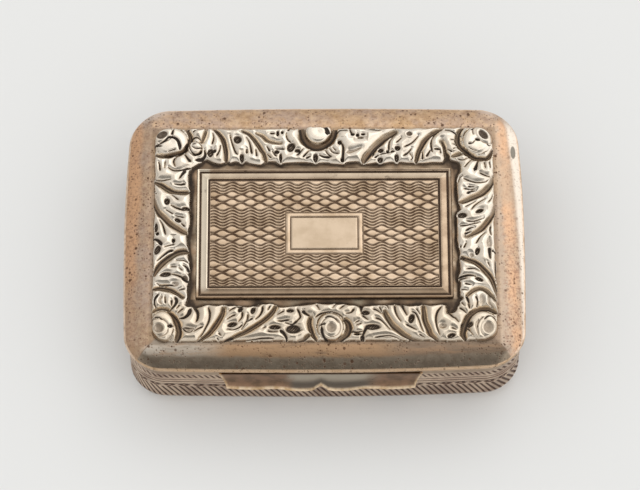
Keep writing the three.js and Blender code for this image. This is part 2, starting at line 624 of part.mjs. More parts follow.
// A plain plate under the rim that flares out to its lower edge, for the thumb to lift. Its lower
// edge runs in two waves to a pointed notch in the middle.
function buildThumbpiece(group) {
  const root = -(halfWidth - WALL_INSET + SOLDER_GAP);
  const reach = -(halfWidth + THUMB_REACH);
  const top = LIP_BOTTOM - THUMB_DROP;
  const bottom = PARTING_HEIGHT + THUMB_LIFT;
  const half = THUMB_LENGTH / 2;
  const t = THUMB_THICKNESS;
  const flare = bottom + THUMB_NOTCH_RISE;
  const profile = new THREE.Shape();
  profile.moveTo(root, top);
  profile.lineTo(root, flare);
  profile.quadraticCurveTo(root, bottom + t, reach + t, bottom);
  profile.lineTo(reach, bottom);
  profile.lineTo(reach, bottom + t);
  profile.quadraticCurveTo(root - t, bottom + 2 * t, root - t, flare + t);
  profile.lineTo(root - t, top);
  const plate = alongX(profile, -half, half);

  // The outline seen from the front, whose lower edge runs in two waves from each end to the notch
  const low = half - THUMB_TAPER;
  const wave = [[1, 1], [0.87, 0.75], [0.72, 0.55], [0.46, 0.8], [0.3, 0.3], [0.18, 0]];
  const side = wave.map(([along, rise]) => new THREE.Vector2(along * low, bottom + rise * THUMB_WAVE));
  const outline = new THREE.Shape();
  outline.moveTo(0, bottom + THUMB_NOTCH_RISE);
  outline.lineTo(THUMB_NOTCH, bottom + 0.3 * THUMB_WAVE);
  outline.splineThru(side.slice().reverse());
  outline.lineTo(half, top + 1);
  outline.lineTo(-half, top + 1);
  outline.lineTo(-low, bottom + THUMB_WAVE);
  outline.splineThru(side.slice(1).map((p) => new THREE.Vector2(-p.x, p.y)));
  outline.lineTo(-THUMB_NOTCH, bottom + 0.3 * THUMB_WAVE);
  const cookie = new THREE.ExtrudeGeometry(outline, { depth: 4, bevelEnabled: false, curveSegments: 3 })
    .rotateX(Math.PI / 2).translate(0, root + 1, 0);
  const shaped = toGeometry(toSolid(plate).intersect(toSolid(cookie)));
  add(group, "thumbpiece", shaped, WARM).position.x = THUMB_OFFSET;
}

const caseGroup = new THREE.Group();
const lidGroup = new THREE.Group();
const grilleGroup = new THREE.Group();
box.add(caseGroup, lidGroup, grilleGroup);

buildCase(caseGroup);
buildSponge(caseGroup);
buildLid(lidGroup);
buildBorder(lidGroup);
buildPanel(lidGroup);
buildThumbpiece(lidGroup);
buildHinge(caseGroup, lidGroup);
buildGrille(grilleGroup);
buildGrilleHinge(caseGroup, grilleGroup);

export default box;
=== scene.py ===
"""A small silver vinaigrette with a cast foliate border and an engine-turned lid, dressed over its frame.

Sizes in the shape code are millimetres; settings and meshes are in metres. The front faces -Y.
"""

import math

import bpy
import numpy as np
from bpy.props import FloatProperty, FloatVectorProperty, IntProperty, PointerProperty
from mathutils import Matrix, Vector


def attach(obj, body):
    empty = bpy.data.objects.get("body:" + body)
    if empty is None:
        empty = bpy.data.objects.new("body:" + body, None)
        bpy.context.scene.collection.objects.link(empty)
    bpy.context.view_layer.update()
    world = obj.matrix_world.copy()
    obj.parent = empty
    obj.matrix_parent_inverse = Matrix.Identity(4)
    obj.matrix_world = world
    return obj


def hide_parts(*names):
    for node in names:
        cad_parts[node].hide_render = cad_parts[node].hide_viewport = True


bl_info = {
    "name": "Silver vinaigrette",
    "version": (1, 0, 0),
    "blender": (4, 5, 0),
    "location": "3D View > Sidebar > Vinaigrette",
    "description": "Builds the carved, engine-turned and plain silver of a small hinged scent box",
    "category": "Object",
}

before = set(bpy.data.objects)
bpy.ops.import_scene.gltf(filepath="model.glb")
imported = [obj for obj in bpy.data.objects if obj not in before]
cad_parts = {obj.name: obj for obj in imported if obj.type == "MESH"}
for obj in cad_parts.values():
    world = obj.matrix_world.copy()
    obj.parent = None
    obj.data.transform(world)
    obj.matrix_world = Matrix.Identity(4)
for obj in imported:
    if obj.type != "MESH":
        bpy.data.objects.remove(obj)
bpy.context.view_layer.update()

MM = 0.001

# Outline of the box, on the rim round the lid
HALF_LENGTH = 20.0
HALF_WIDTH = 14.75
CORNER_RADIUS = 3.9
SIDE_BOW = 0.3
SIDE_TAPER = 0.35
FRONT_DRAW = 0.3

# Heights above the table
WALL_BOTTOM = 2.1
PARTING = 4.6
PARTING_GAP = 0.04
LIP_BOTTOM = 8.0
LIP_TOP = 8.5
PLATFORM = 9.3
ORNAMENT_BASE = 9.33

# Walls, margin and base
SHEET = 0.5
SOLDER_GAP = 0.03
WALL_INSET = 0.43
WALL_INNER = WALL_INSET + SHEET
MARGIN_WIDTH = 2.85
MARGIN_START = 0.18
MARGIN_STEP = 0.12
BASE_MARGIN = 3.4
BEAD_WIDTH = 0.18
CORNER_PINCH = 2.1

# Opening that the lid's hinge needs in both back walls
NOTCH_REACH = 13.24
NOTCH_LOW = 3.38
NOTCH_HIGH = 5.82

# Frame and engine-turned panel in the middle of the lid
FRAME_HALF_X = 12.75
FRAME_HALF_Y = 7.25
FRAME_WIDTH = 1.4
PANEL_HALF_X = FRAME_HALF_X - FRAME_WIDTH
PANEL_HALF_Y = FRAME_HALF_Y - FRAME_WIDTH
RESERVE_HALF_X = 3.85
RESERVE_HALF_Y = 2.3
RESERVE_STEP = 0.5
PANEL_RISE = 0.22
PANEL_SHEET = 0.14
PANEL_COLUMNS = 200
PANEL_ROWS = 245

# Turned lines of the panel: where a band of waves starts, its number of lines and their spacing
WAVE_BANDS = ((5.57, 4, 0.323), (2.73, 7, 0.335), (-1.18, 7, 0.33), (-5.1, 4, 0.29))
WAVE_START = 9.2

# Rows of pointed ovals between the waves: where the three lines of a row start, and their spacing
OVAL_BANDS = ((4.2, 0.48), (0.24, 0.48), (-3.64, 0.47))
OVAL_PITCH = 0.96
OVAL_MIDDLE = 0.05

# Section of the frame's moulding: distance in from its edge, height, and how black it is with oxide and
# painted shade in its grooves
MOULDING_SECTION = (
    (0.0, 0.0, 1), (0.0, 0.2, 0.9), (0.03, 0.33, 0.3), (0.09, 0.42, 0), (0.2, 0.42, 0), (0.28, 0.34, 0.25),
    (0.34, 0.2, 1), (0.44, 0.19, 0.95), (0.5, 0.27, 0.2), (0.58, 0.3, 0), (0.98, 0.26, 0.12),
    (1.03, 0.31, 0), (1.14, 0.29, 0.1), (1.19, 0.16, 0.85), (1.33, 0.15, 0.9), (1.37, 0.26, 0.1),
    (FRAME_WIDTH, 0.26, 0), (FRAME_WIDTH, 0.0, 0.5),
)
MOULDING_CORNER = 0.15

# Turning of the walls: spacing of the points along them, rows of points up them, and heights of the bands
WALL_SPACING = 0.078
LID_WALL_ROWS = 44
CASE_WALL_ROWS = 36
LID_COVE = 6.62
LID_LINES = 4.78
LID_LINE_PITCH = 0.42
CASE_OVALS = 4.26
CASE_OVAL_RISE = 0.36
BASE_SPACING = 0.13

# Pins of both hinges, and the knuckles of the grille's hinge
LID_HINGE_Y = HALF_WIDTH - WALL_INSET + 0.13
GRILLE_HINGE_Y = HALF_WIDTH - 2.0
GRILLE_HINGE_Z = 4.86
GRILLE_KNUCKLE = (0.5 * MM, 0.27 * MM, 3.88 * MM, 8.0 * MM)

# Thumbpiece, and its lower edge: distance from the middle, and how far it rises there
THUMB_MIDDLE = -0.4
THUMB_HALF = 10.0
THUMB_TAPER = 0.7
THUMB_TOP = 7.88
THUMB_BOTTOM = 4.82
THUMB_SHEET = 0.32
THUMB_FACE = -14.7
THUMB_BACK = -14.36
THUMB_FLARE = 0.45
THUMB_EDGE = (
    (0.0, 1.3), (0.55, 0.55), (0.75, 0.22), (1.2, 0.0), (2.4, 0.0), (3.0, 0.15), (4.3, 0.56), (5.4, 0.5),
    (6.7, 0.36), (8.2, 0.5), (9.3, 0.72),
)

# Section of the sponge from its foot to its top: distance in from the rim, and height
SPONGE_SECTION = (
    (4.2, 0.8), (3.4, 0.85), (2.6, 1.2), (2.0, 1.7), (1.75, WALL_BOTTOM), (1.72, 2.8), (1.8, 3.1), (2.1, 3.3),
    (2.6, 3.45), (3.6, 3.6), (5.0, 3.72), (6.5, 3.8), (8.0, 3.86), (9.5, 3.9), (11.0, 3.92), (12.5, 3.93),
)
SPONGE_CLOSING = (0.8, 0.6, 0.4, 0.2, 0.05)
SPONGE_DEPTH = 0.35
SPONGE_PORE = 0.9

# Where the camera stands, in millimetres and degrees
CAMERA_HEIGHT_ANGLE = 63.0
CAMERA_DISTANCE = 394.9
CAMERA_ROLL = -0.217
CAMERA_SHIFT = (0.431, 0.484)
CAMERA_TARGET = (0.0, 0.0, 8.0)
CAMERA_LENS = 222.3
CAMERA_WIDTH = 36.0

# Floor and light, with places in metres
FLOOR_HALF = 900.0
LAMP_PLACE = (0.2, 0.4, 0.6)
LAMP_SIZE = 0.5
DARK_SIDE = (0.0, -0.5, 0.866)

# Border of cast leaves and scrolls
BORDER_HALF_X = 17.15
BORDER_HALF_Y = 11.98
BORDER_CORNER = 1.55
BORDER_SPARE = 0.1
BORDER_FOOT = PLATFORM - 0.08

# How softly the outlines of channels and strokes fade, how far out they are felt, and what counts as far
CHANNEL_BLUR = 0.07
STROKE_BLUR = 0.06
CHANNEL_REACH = 1.3
STROKE_REACH = 0.9
FAR = 9.0

# Inner edge of the leaves, clockwise from the back left corner as seen from above
LEAF_EDGE = (
    -13.2, 7.4, -12.5, 7.9, -12.1, 8.25, -11.75, 8.3, -11.3, 8.05, -10.8, 7.85, -10.3, 7.8, -9.7, 8.05,
    -9.4, 7.9, -8.9, 8.05, -8.2, 7.85, -7.9, 8.05, -7.5, 7.85, -6.5, 7.65, -6.1, 7.8, -5.85, 8.0,
    -5.0, 8.05, -4.7, 7.85, -4.3, 7.7, -4.0, 7.85, -2.0, 7.95, -0.8, 7.75, -0.5, 7.85, 0.3, 7.9,
    0.8, 7.75, 1.9, 7.65, 2.2, 7.85, 2.6, 8.0, 3.4, 8.0, 3.7, 7.75, 4.3, 7.7, 5.3, 7.9, 5.7, 7.75,
    6.8, 7.95, 7.3, 7.8, 7.6, 7.95, 8.3, 7.85, 10.0, 7.8, 11.0, 7.9, 11.9, 7.9, 12.2, 8.4, 12.35, 9.0,
    12.6, 8.7, 12.7, 8.2, 13.5, 7.9, 13.6, 7.0, 13.3, 6.3, 13.2, 5.0, 13.35, 3.4, 13.5, 2.6, 13.2, 2.2,
    13.15, 1.5, 13.15, 0.0, 13.1, -0.7, 13.25, -1.5, 13.4, -2.8, 13.3, -3.2, 13.35, -4.0, 13.2, -5.2,
    13.35, -5.6, 13.3, -6.9, 13.6, -7.2, 13.4, -7.5, 13.2, -7.9, 13.0, -8.3, 12.6, -8.8, 12.2, -8.9,
    12.1, -8.3, 11.7, -7.9, 9.0, -8.0, 6.6, -7.9, 4.1, -8.0, 3.6, -8.1, 2.8, -7.9, 1.0, -7.8,
    -1.0, -7.75, -2.6, -7.95, -3.8, -8.1, -4.3, -8.1, -4.8, -7.95, -5.2, -7.75, -5.9, -7.75, -6.5, -7.85,
    -7.2, -8.05, -8.5, -8.0, -10.9, -7.85, -12.0, -7.9, -12.7, -8.3, -13.0, -8.1, -13.6, -7.9,
    -13.45, -7.0, -13.5, -6.0, -13.4, -5.4, -13.3, -3.6, -13.4, -3.0, -13.5, -1.5, -13.6, -0.1,
    -13.3, 1.0, -13.3, 2.0, -13.4, 2.6, -13.3, 4.0, -13.4, 4.8, -13.5, 6.5, -13.35, 7.2,
)

# Deep channels with warm tarnish between the leaves, each with painted shade on one side: width, then the
# points each runs through
TAN_CHANNELS = (
    (0.28, -8.2, 11.6, -7.6, 11.25, -7.1, 10.7, -6.7, 10.1, -6.3, 9.4, -6.0, 8.9, -5.8, 8.0),
    (0.16, -6.8, 11.3, -6.2, 11.0, -5.7, 10.5, -5.2, 10.3, -4.4, 10.15),
    (0.16, -11.85, 11.8, -12.0, 11.2, -12.3, 10.3),
    (0.6, 7.2, 11.4, 6.6, 11.0, 6.0, 10.6, 5.4, 10.0, 4.9, 9.4, 4.4, 8.8, 4.1, 8.3, 4.0, 8.0),
    (0.4, -17.0, 5.8, -16.4, 5.5, -15.7, 5.0, -15.0, 4.65, -13.6, 4.6),
    (0.45, -17.1, 4.0, -16.9, 3.2, -16.5, 2.4, -15.9, 1.7, -15.2, 1.0, -14.5, 0.5, -13.7, 0.0),
    (0.5, -16.9, -4.6, -16.6, -4.0, -16.1, -3.3, -15.4, -2.7, -14.7, -2.2, -14.0, -2.0, -13.5, -2.1),
    (0.35, -17.0, -6.2, -16.3, -6.1, -15.6, -6.2, -15.0, -6.4, -14.0, -7.1),
    (0.45, 17.0, 6.3, 16.8, 5.6, 16.4, 5.0, 15.8, 4.4, 15.0, 4.0, 14.2, 3.6, 13.6, 3.4),
    (0.4, 17.1, 3.0, 16.9, 2.2, 16.5, 1.5, 16.0, 0.8, 15.4, 0.2, 14.2, -0.4),
    (0.4, 13.6, -2.8, 14.2, -3.0, 14.9, -3.3, 15.5, -3.8, 16.1, -4.5, 16.6, -5.3, 17.1, -7.0),
    (0.3, 14.1, -7.0, 14.6, -6.5, 15.3, -6.2, 15.9, -6.4, 16.4, -6.9, 17.0, -7.6),
    (0.2, -17.0, -8.7, -16.4, -8.4, -15.7, -8.4, -15.3, -8.6),
    (0.35, -9.95, -8.3, -10.1, -9.0, -10.5, -9.8, -11.0, -10.6, -11.6, -11.3, -12.7, -12.1),
    (0.34, -4.8, -8.1, -5.1, -8.7, -5.6, -9.3, -6.3, -9.9, -7.0, -10.4, -7.8, -10.9, -8.6, -11.3, -9.9,
     -12.0),
    (0.4, 5.9, -8.7, 6.2, -9.4, 6.6, -10.1, 7.2, -10.7, 7.9, -11.3, 8.6, -11.7, 10.0, -12.0),
    (0.35, 9.75, -8.2, 9.8, -9.0, 9.9, -9.8, 10.2, -10.6, 10.5, -11.3, 11.3, -12.0),
    (0.3, 12.9, 8.6, 13.4, 8.8, 13.9, 9.0),
)

# Deep channels that are black with age, and darker still on one side with painted shade
DARK_CHANNELS = (
    (0.3, -13.9, 11.8, -13.6, 11.4, -13.4, 10.8, -13.45, 10.3, -13.7, 9.8, -14.1, 9.3, -14.7, 9.0, -15.5,
     8.8, -16.3, 8.75, -16.9, 8.9),
    (0.3, -11.1, 11.85, -10.6, 11.3, -10.2, 10.7, -10.0, 10.0, -9.85, 9.2, -9.8, 8.0),
    (0.66, -2.25, 12.0, -2.2, 11.4, -1.95, 10.6, -1.4, 9.95, -0.7, 9.7, 0.0, 9.9, 0.6, 10.45, 1.0, 11.15,
     1.15, 12.0),
    (0.35, 11.9, 11.8, 11.3, 11.4, 10.6, 10.9, 10.1, 10.3, 9.8, 9.7, 9.5, 9.0, 9.25, 7.95),
    (0.24, 11.9, 10.3, 12.1, 9.7, 12.2, 9.1, 12.3, 8.5, 12.35, 7.7),
    (0.4, 14.0, 11.9, 13.6, 11.3, 13.45, 10.6, 13.5, 10.0, 13.9, 9.4, 14.4, 8.9, 15.1, 8.4, 15.8, 8.3,
     16.5, 8.4, 17.0, 9.3),
    (0.4, -15.3, -8.8, -14.7, -9.5, -14.4, -10.3, -14.3, -11.0, -14.5, -11.7, -14.7, -12.0),
    (0.3, -1.4, -9.4, -1.5, -10.0, -1.35, -10.7, -1.15, -11.3, -0.8, -11.9),
    (0.25, -1.5, -11.2, -2.0, -11.7, -2.6, -11.9),
    (0.45, 2.0, -9.6, 2.3, -10.0, 2.4, -10.6, 2.2, -11.2, 1.8, -11.6, 1.2, -12.0),
    (0.45, 16.9, -8.9, 16.2, -8.5, 15.4, -8.5, 14.7, -8.9, 14.2, -9.4, 13.9, -10.0, 13.7, -10.7, 13.6,
     -11.2, 13.8, -11.9),
)

# Gouges in the leaves: width, then the points each runs through
GOUGES = (
    (0.12, 6.4, 10.8, 5.6, 10.1, 5.0, 9.5, 4.5, 8.7, 4.3, 8.2),
    (0.12, -9.45, 11.0, -9.3, 10.3, -8.95, 9.2, -8.7, 8.8),
    (0.13, 11.4, 11.3, 11.0, 10.8, 10.8, 10.2, 10.8, 9.6, 10.9, 9.0),
    (0.2, -10.0, -11.95, -9.5, -11.7, -9.0, -11.5),
    (0.12, -0.9, -9.4, -0.3, -9.0, 0.6, -8.85, 1.4, -9.1, 1.9, -9.6),
    (0.1, -11.2, 11.3, -11.1, 10.7, -11.25, 10.0), (0.12, -10.4, 9.9, -10.5, 9.3, -10.8, 8.65),
    (0.14, -7.8, 10.8, -7.5, 10.2, -7.35, 9.5, -7.25, 8.9), (0.14, -7.75, 9.4, -7.75, 8.95),
    (0.12, -6.85, 9.4, -6.75, 8.6), (0.14, -5.75, 9.75, -5.45, 9.2), (0.1, -5.7, 8.9, -5.3, 8.4),
    (0.12, -5.2, 9.2, -4.8, 8.6), (0.15, -4.9, 9.45, -4.0, 9.4), (0.1, -3.8, 11.2, -3.7, 10.6, -3.3, 10.1),
    (0.15, -3.5, 11.9, -3.6, 11.5), (0.13, -2.1, 9.4, -2.7, 8.7), (0.13, -1.45, 9.3, -2.1, 8.5),
    (0.15, -1.35, 8.6, -1.8, 8.35), (0.12, 0.15, 9.3, 0.4, 8.8, 0.75, 8.5),
    (0.1, 0.55, 9.5, 0.9, 9.0, 1.5, 8.9), (0.08, 0.9, 9.6, 1.2, 9.2), (0.2, -0.5, 8.75, 0.0, 8.5, 0.6, 8.45),
    (0.12, 1.2, 11.2, 1.6, 11.5, 2.4, 11.5), (0.15, 2.6, 11.9, 2.7, 11.4, 2.9, 11.0),
    (0.2, 1.4, 10.4, 1.8, 10.0, 1.95, 9.5, 1.9, 8.5, 1.85, 8.1), (0.1, 4.2, 11.7, 5.0, 11.6, 5.7, 11.55),
    (0.12, 6.9, 10.8, 6.6, 10.2, 6.5, 9.1), (0.1, 7.3, 10.1, 7.8, 10.6), (0.13, 5.05, 9.3, 4.9, 8.6),
    (0.15, 5.1, 8.4, 5.5, 8.7), (0.1, 5.6, 8.75, 6.2, 8.9, 6.9, 9.0), (0.12, 8.1, 9.6, 8.9, 10.1, 9.5, 10.8),
    (0.14, 8.0, 8.6, 8.5, 9.0, 8.8, 9.4), (0.08, 8.6, 8.9, 8.9, 8.4, 8.7, 8.1), (0.15, 10.3, 8.5, 10.7, 9.2),
    (0.15, 9.9, 9.1, 9.9, 8.2), (0.1, 11.7, 9.4, 11.75, 8.9), (0.12, 12.4, 9.4, 12.9, 9.05),
    (0.13, 12.2, 11.5, 12.8, 11.4, 13.4, 11.1), (0.07, 12.8, 10.45, 13.2, 10.5),
    (0.07, 13.0, 10.0, 13.2, 9.95), (0.07, 13.0, 9.4, 13.3, 9.6), (0.08, 13.4, 8.25, 14.0, 8.1, 14.4, 8.4),
    (0.08, 14.1, 7.3, 14.6, 7.9, 14.75, 8.2), (0.15, -13.4, 10.5, -13.1, 10.75, -12.7, 10.75, -12.35, 10.5),
    (0.12, -13.25, 9.9, -12.9, 9.95), (0.12, -13.3, 9.65, -12.8, 9.4, -12.3, 9.5),
    (0.16, -13.5, 9.7, -13.4, 9.2, -13.0, 8.8, -12.5, 8.9, -12.3, 9.2),
    (0.3, -12.0, 9.3, -11.95, 8.7, -12.3, 8.3, -12.9, 8.2), (0.2, -14.0, 8.9, -13.7, 8.4, -13.4, 8.0),
    (0.12, -13.2, 11.4, -12.9, 11.7, -12.3, 11.8), (0.15, -13.7, 11.7, -13.4, 11.9),
    (0.13, -16.6, 8.0, -16.5, 7.6, -16.45, 7.0), (0.06, -15.95, 8.0, -16.0, 7.3),
    (0.13, -14.95, 8.5, -15.1, 8.0, -14.95, 7.5),
    (0.15, -15.6, 7.3, -15.1, 7.0, -14.4, 7.0, -13.9, 7.15, -13.4, 7.3),
    (0.25, -14.5, 6.1, -14.2, 6.6, -13.9, 7.0), (0.25, -13.4, 7.1, -13.35, 6.2, -13.3, 5.4),
    (0.08, -17.1, 6.5, -17.0, 6.1, -16.3, 5.9, -15.4, 6.0), (0.16, -15.0, 5.5, -14.4, 5.4, -13.9, 5.5),
    (0.1, -15.2, 4.3, -14.9, 4.0, -14.6, 3.7), (0.18, -15.3, 3.1, -14.8, 2.8, -14.2, 2.6, -13.9, 2.6),
    (0.09, -15.8, 2.6, -15.1, 2.1), (0.1, -14.9, 1.9, -14.0, 1.7), (0.12, -14.3, 1.1, -13.9, 0.7),
    (0.13, -16.4, 1.5, -16.1, 0.9, -15.8, -0.2), (0.3, -17.3, -0.6, -16.8, -0.7, -16.4, -1.0, -16.2, -1.4),
    (0.1, -15.9, -1.6, -15.3, -1.4, -14.9, -1.3), (0.18, -16.6, -3.1, -16.1, -2.6, -15.5, -2.1, -15.0, -1.9),
    (0.08, -14.7, -3.1, -14.0, -3.1, -13.5, -3.3), (0.22, -14.0, -3.6, -13.6, -3.9, -13.4, -4.3),
    (0.08, -15.2, -3.8, -14.7, -3.8), (0.08, -14.4, -3.9, -14.1, -4.2),
    (0.2, -15.2, -4.6, -14.6, -4.75, -14.1, -5.0, -13.7, -5.4, -13.4, -5.3),
    (0.12, -16.6, -5.6, -16.2, -5.8, -15.3, -5.8, -14.8, -5.9), (0.12, -14.4, -6.35, -13.8, -6.2),
    (0.07, -17.25, 5.5, -17.1, 5.35), (0.07, -17.1, 5.2, -17.0, 5.0), (0.07, -17.1, 4.9, -16.9, 4.65),
    (0.07, -16.9, 4.55, -16.75, 4.4), (0.2, -16.4, -6.8, -16.75, -7.3, -16.8, -7.8, -16.6, -8.3),
    (0.1, -15.75, -7.1, -15.7, -7.8), (0.25, -14.75, -7.1, -14.6, -7.6, -14.8, -8.1, -15.2, -8.5),
    (0.12, -15.1, -7.5, -15.1, -8.1), (0.08, -14.3, -8.0, -14.6, -8.4), (0.1, -13.95, -8.4, -14.5, -8.9),
    (0.3, -13.2, -8.4, -13.4, -9.0, -13.8, -9.4, -14.3, -9.45),
    (0.22, -12.75, -8.3, -12.5, -8.9, -12.5, -9.5, -12.65, -9.9),
    (0.1, -14.0, -10.5, -13.6, -10.9, -13.2, -10.95, -12.9, -10.6), (0.1, -13.9, -10.5, -12.9, -10.6),
    (0.1, -12.9, -10.9, -12.4, -10.6, -12.0, -10.4),
    (0.14, -11.45, -8.3, -11.3, -9.0, -11.4, -9.8, -11.7, -10.5, -12.0, -11.1, -12.4, -11.6),
    (0.12, -9.45, -8.7, -8.8, -8.25), (0.1, -9.6, -9.6, -9.2, -9.3, -8.8, -9.1),
    (0.1, -9.6, -10.7, -9.0, -10.75, -8.4, -10.5, -8.1, -10.2), (0.12, -8.1, -8.8, -8.15, -9.4, -8.5, -9.9),
    (0.1, -7.55, -9.1, -7.6, -9.6, -7.9, -10.2, -8.2, -10.7), (0.12, -7.7, -9.9, -7.4, -9.7, -7.1, -9.5),
    (0.15, -6.1, -8.2, -6.15, -8.7, -6.4, -9.2, -6.8, -9.6), (0.1, -5.35, -8.1, -5.6, -8.6),
    (0.1, -6.1, -10.6, -5.8, -10.4), (0.25, -4.4, -10.8, -4.0, -11.2, -3.75, -11.7, -3.8, -12.0),
    (0.1, -5.6, -10.9, -5.2, -11.0, -4.6, -11.0),
    (0.12, -8.0, -11.85, -7.0, -11.75, -6.2, -11.65, -5.0, -11.65), (0.1, -10.4, -11.1, -10.2, -11.4),
    (0.1, -10.6, -11.6, -10.4, -11.8), (0.15, -3.9, -10.0, -3.2, -10.2, -2.7, -9.8),
    (0.14, -2.7, -8.5, -2.5, -8.9, -2.4, -9.4, -2.7, -9.8, -3.1, -10.3),
    (0.15, -4.6, -9.8, -4.2, -9.8, -3.5, -9.7), (0.1, -4.7, -9.1, -4.3, -8.9, -4.0, -8.7),
    (0.25, -2.2, -8.7, -1.9, -9.0, -1.5, -9.2), (0.12, -2.7, -10.8, -2.2, -10.8),
    (0.08, -0.8, -8.0, -0.5, -8.6), (0.06, 1.0, -8.0, 0.8, -8.4), (0.12, 1.9, -8.1, 1.5, -8.5),
    (0.13, 2.9, -8.5, 2.6, -8.9, 2.1, -9.0), (0.07, 3.0, -10.0, 3.4, -9.8), (0.07, 3.1, -10.3, 3.6, -10.1),
    (0.15, 2.6, -10.9, 3.1, -11.05, 3.7, -11.0), (0.25, 3.5, -8.0, 3.6, -8.4, 3.6, -8.9),
    (0.12, 3.7, -9.2, 4.0, -9.5, 4.25, -9.7), (0.2, 4.2, -10.3, 3.95, -10.9, 3.75, -11.4, 3.7, -11.8),
    (0.13, 5.0, -9.5, 5.5, -9.7, 6.0, -10.2, 6.4, -10.7), (0.12, 4.8, -8.5, 5.2, -8.7, 5.6, -9.0),
    (0.1, 5.4, -8.3, 5.6, -8.7, 5.8, -9.0), (0.08, 6.1, -8.0, 6.3, -8.5),
    (0.1, 4.9, -11.6, 5.6, -11.5, 6.3, -11.45, 7.0, -11.6, 7.6, -11.9),
    (0.13, 6.9, -8.1, 6.95, -8.7, 7.15, -9.3, 7.5, -9.9), (0.17, 7.6, -8.0, 7.8, -8.6, 8.1, -9.2),
    (0.13, 8.0, -10.2, 8.5, -10.5, 9.0, -10.8),
    (0.12, 8.6, -8.8, 9.0, -9.1, 9.3, -9.8, 9.5, -10.5, 9.7, -11.0), (0.1, 9.05, -8.5, 9.4, -9.1),
    (0.1, 9.3, -11.3, 9.8, -11.6),
    (0.14, 11.5, -8.3, 11.1, -8.9, 10.95, -9.6, 11.0, -10.3, 11.15, -10.9, 11.3, -11.4),
    (0.08, 12.5, -10.6, 12.9, -10.8), (0.13, 12.3, -9.0, 12.6, -9.4, 12.9, -9.6, 13.2, -10.0),
    (0.12, 13.3, -8.4, 13.7, -8.7, 14.0, -9.0), (0.2, 14.0, -7.1, 14.15, -7.6, 14.25, -8.0),
    (0.12, 14.2, -8.0, 14.3, -8.5), (0.08, 13.5, -7.8, 13.8, -8.2),
    (0.12, 14.95, -7.2, 15.1, -7.7, 15.0, -8.3), (0.25, 15.45, 8.0, 15.3, 7.4, 15.1, 6.9),
    (0.08, 16.1, 7.9, 16.2, 7.2), (0.08, 16.6, 7.9, 16.7, 7.2), (0.1, 15.6, 6.6, 16.2, 6.3, 16.7, 6.2),
    (0.1, 14.0, 6.0, 14.6, 5.7, 15.3, 5.5, 16.1, 5.6, 16.4, 5.8), (0.07, 13.4, 5.6, 13.6, 6.1, 13.9, 6.3),
    (0.12, 14.4, 5.05, 15.0, 5.05), (0.1, 14.0, 4.85, 14.5, 4.75, 15.1, 4.8),
    (0.18, 14.3, 4.3, 14.6, 4.5, 15.1, 4.6), (0.09, 14.1, 2.8, 14.6, 3.1, 15.1, 3.4),
    (0.09, 14.7, 2.5, 15.1, 3.0, 15.6, 3.4, 16.1, 3.7), (0.07, 16.4, 3.3, 16.7, 3.7, 16.9, 4.2),
    (0.1, 14.2, 1.2, 14.9, 1.15, 15.9, 1.5), (0.1, 13.5, 0.65, 14.2, 0.7, 14.9, 0.9, 15.4, 1.0),
    (0.15, 14.1, 0.1, 14.5, 0.4, 14.9, 0.5), (0.15, 14.0, -0.2, 14.6, 0.1),
    (0.1, 16.0, -0.1, 15.5, -0.6, 15.1, -1.3), (0.12, 16.55, 0.6, 16.5, 0.1, 16.6, -0.4),
    (0.25, 16.4, -1.8, 16.4, -2.4, 16.45, -3.0), (0.15, 16.6, -2.1, 17.0, -2.3),
    (0.12, 14.1, -1.3, 13.85, -1.8), (0.1, 13.6, -1.5, 13.5, -1.7),
    (0.1, 14.1, -4.15, 14.8, -4.1, 15.3, -4.3), (0.2, 13.2, -5.1, 13.8, -4.95, 14.4, -4.85, 15.0, -5.0),
    (0.12, 13.3, -5.3, 14.1, -5.15), (0.12, 13.9, -5.75, 14.5, -5.9), (0.08, 13.5, -6.4, 14.2, -6.45),
    (0.07, 16.2, -3.4, 16.4, -3.9), (0.1, 16.95, -3.2, 16.95, -4.5, 17.0, -5.6),
    (0.26, -17.05, 9.85, -16.5, 9.95, -16.0, 10.3, -15.6, 10.7, -15.1, 10.65, -14.7, 10.3, -14.5, 9.7,
     -14.5, 9.3), (0.15, -15.1, 11.8, -15.2, 11.4, -15.35, 11.0), (0.1, -15.7, 9.1, -14.9, 9.35),
    (0.15, 15.3, 11.85, 15.0, 11.6, 14.85, 11.5), (0.12, 15.2, 10.2, 14.9, 9.9, 14.5, 9.85),
    (0.1, 16.4, 9.8, 16.6, 9.65, 16.8, 9.8), (0.07, 14.6, 9.4, 15.0, 9.15, 15.4, 9.0),
    (0.1, -17.15, -10.4, -17.1, -9.8, -16.7, -9.5, -16.3, -9.5, -16.0, -9.7),
    (0.12, -16.6, -11.8, -16.2, -11.95, -15.6, -11.95),
    (0.13, 16.9, -9.9, 16.6, -9.5, 16.1, -9.45, 15.7, -9.8), (0.1, 14.0, -10.6, 14.3, -11.0),
    (0.42, -0.5, 11.95, 0.1, 11.75, 0.35, 11.3, 0.35, 10.95), (0.14, -1.2, 11.85, -0.4, 11.85),
    (0.13, 0.0, -9.55, 0.5, -9.45, 1.0, -9.65, 1.35, -10.1), (0.15, -0.6, -10.5, -0.3, -10.3, 0.1, -10.25),
    (0.25, -0.3, -10.6, -0.25, -11.2, 0.0, -11.7, 0.4, -11.9),
)

# Shallow grey shadows in the leaves
SOFT_GOUGES = (
    (0.25, 2.3, 9.0, 3.0, 9.2, 3.7, 9.5), (0.2, -16.1, -7.0, -16.3, -7.5, -16.1, -7.9),
    (0.2, 16.3, -7.0, 16.2, -7.8, 16.6, -8.4), (0.25, 15.1, -9.9, 14.9, -10.4, 15.0, -11.0, 15.1, -11.6),
)

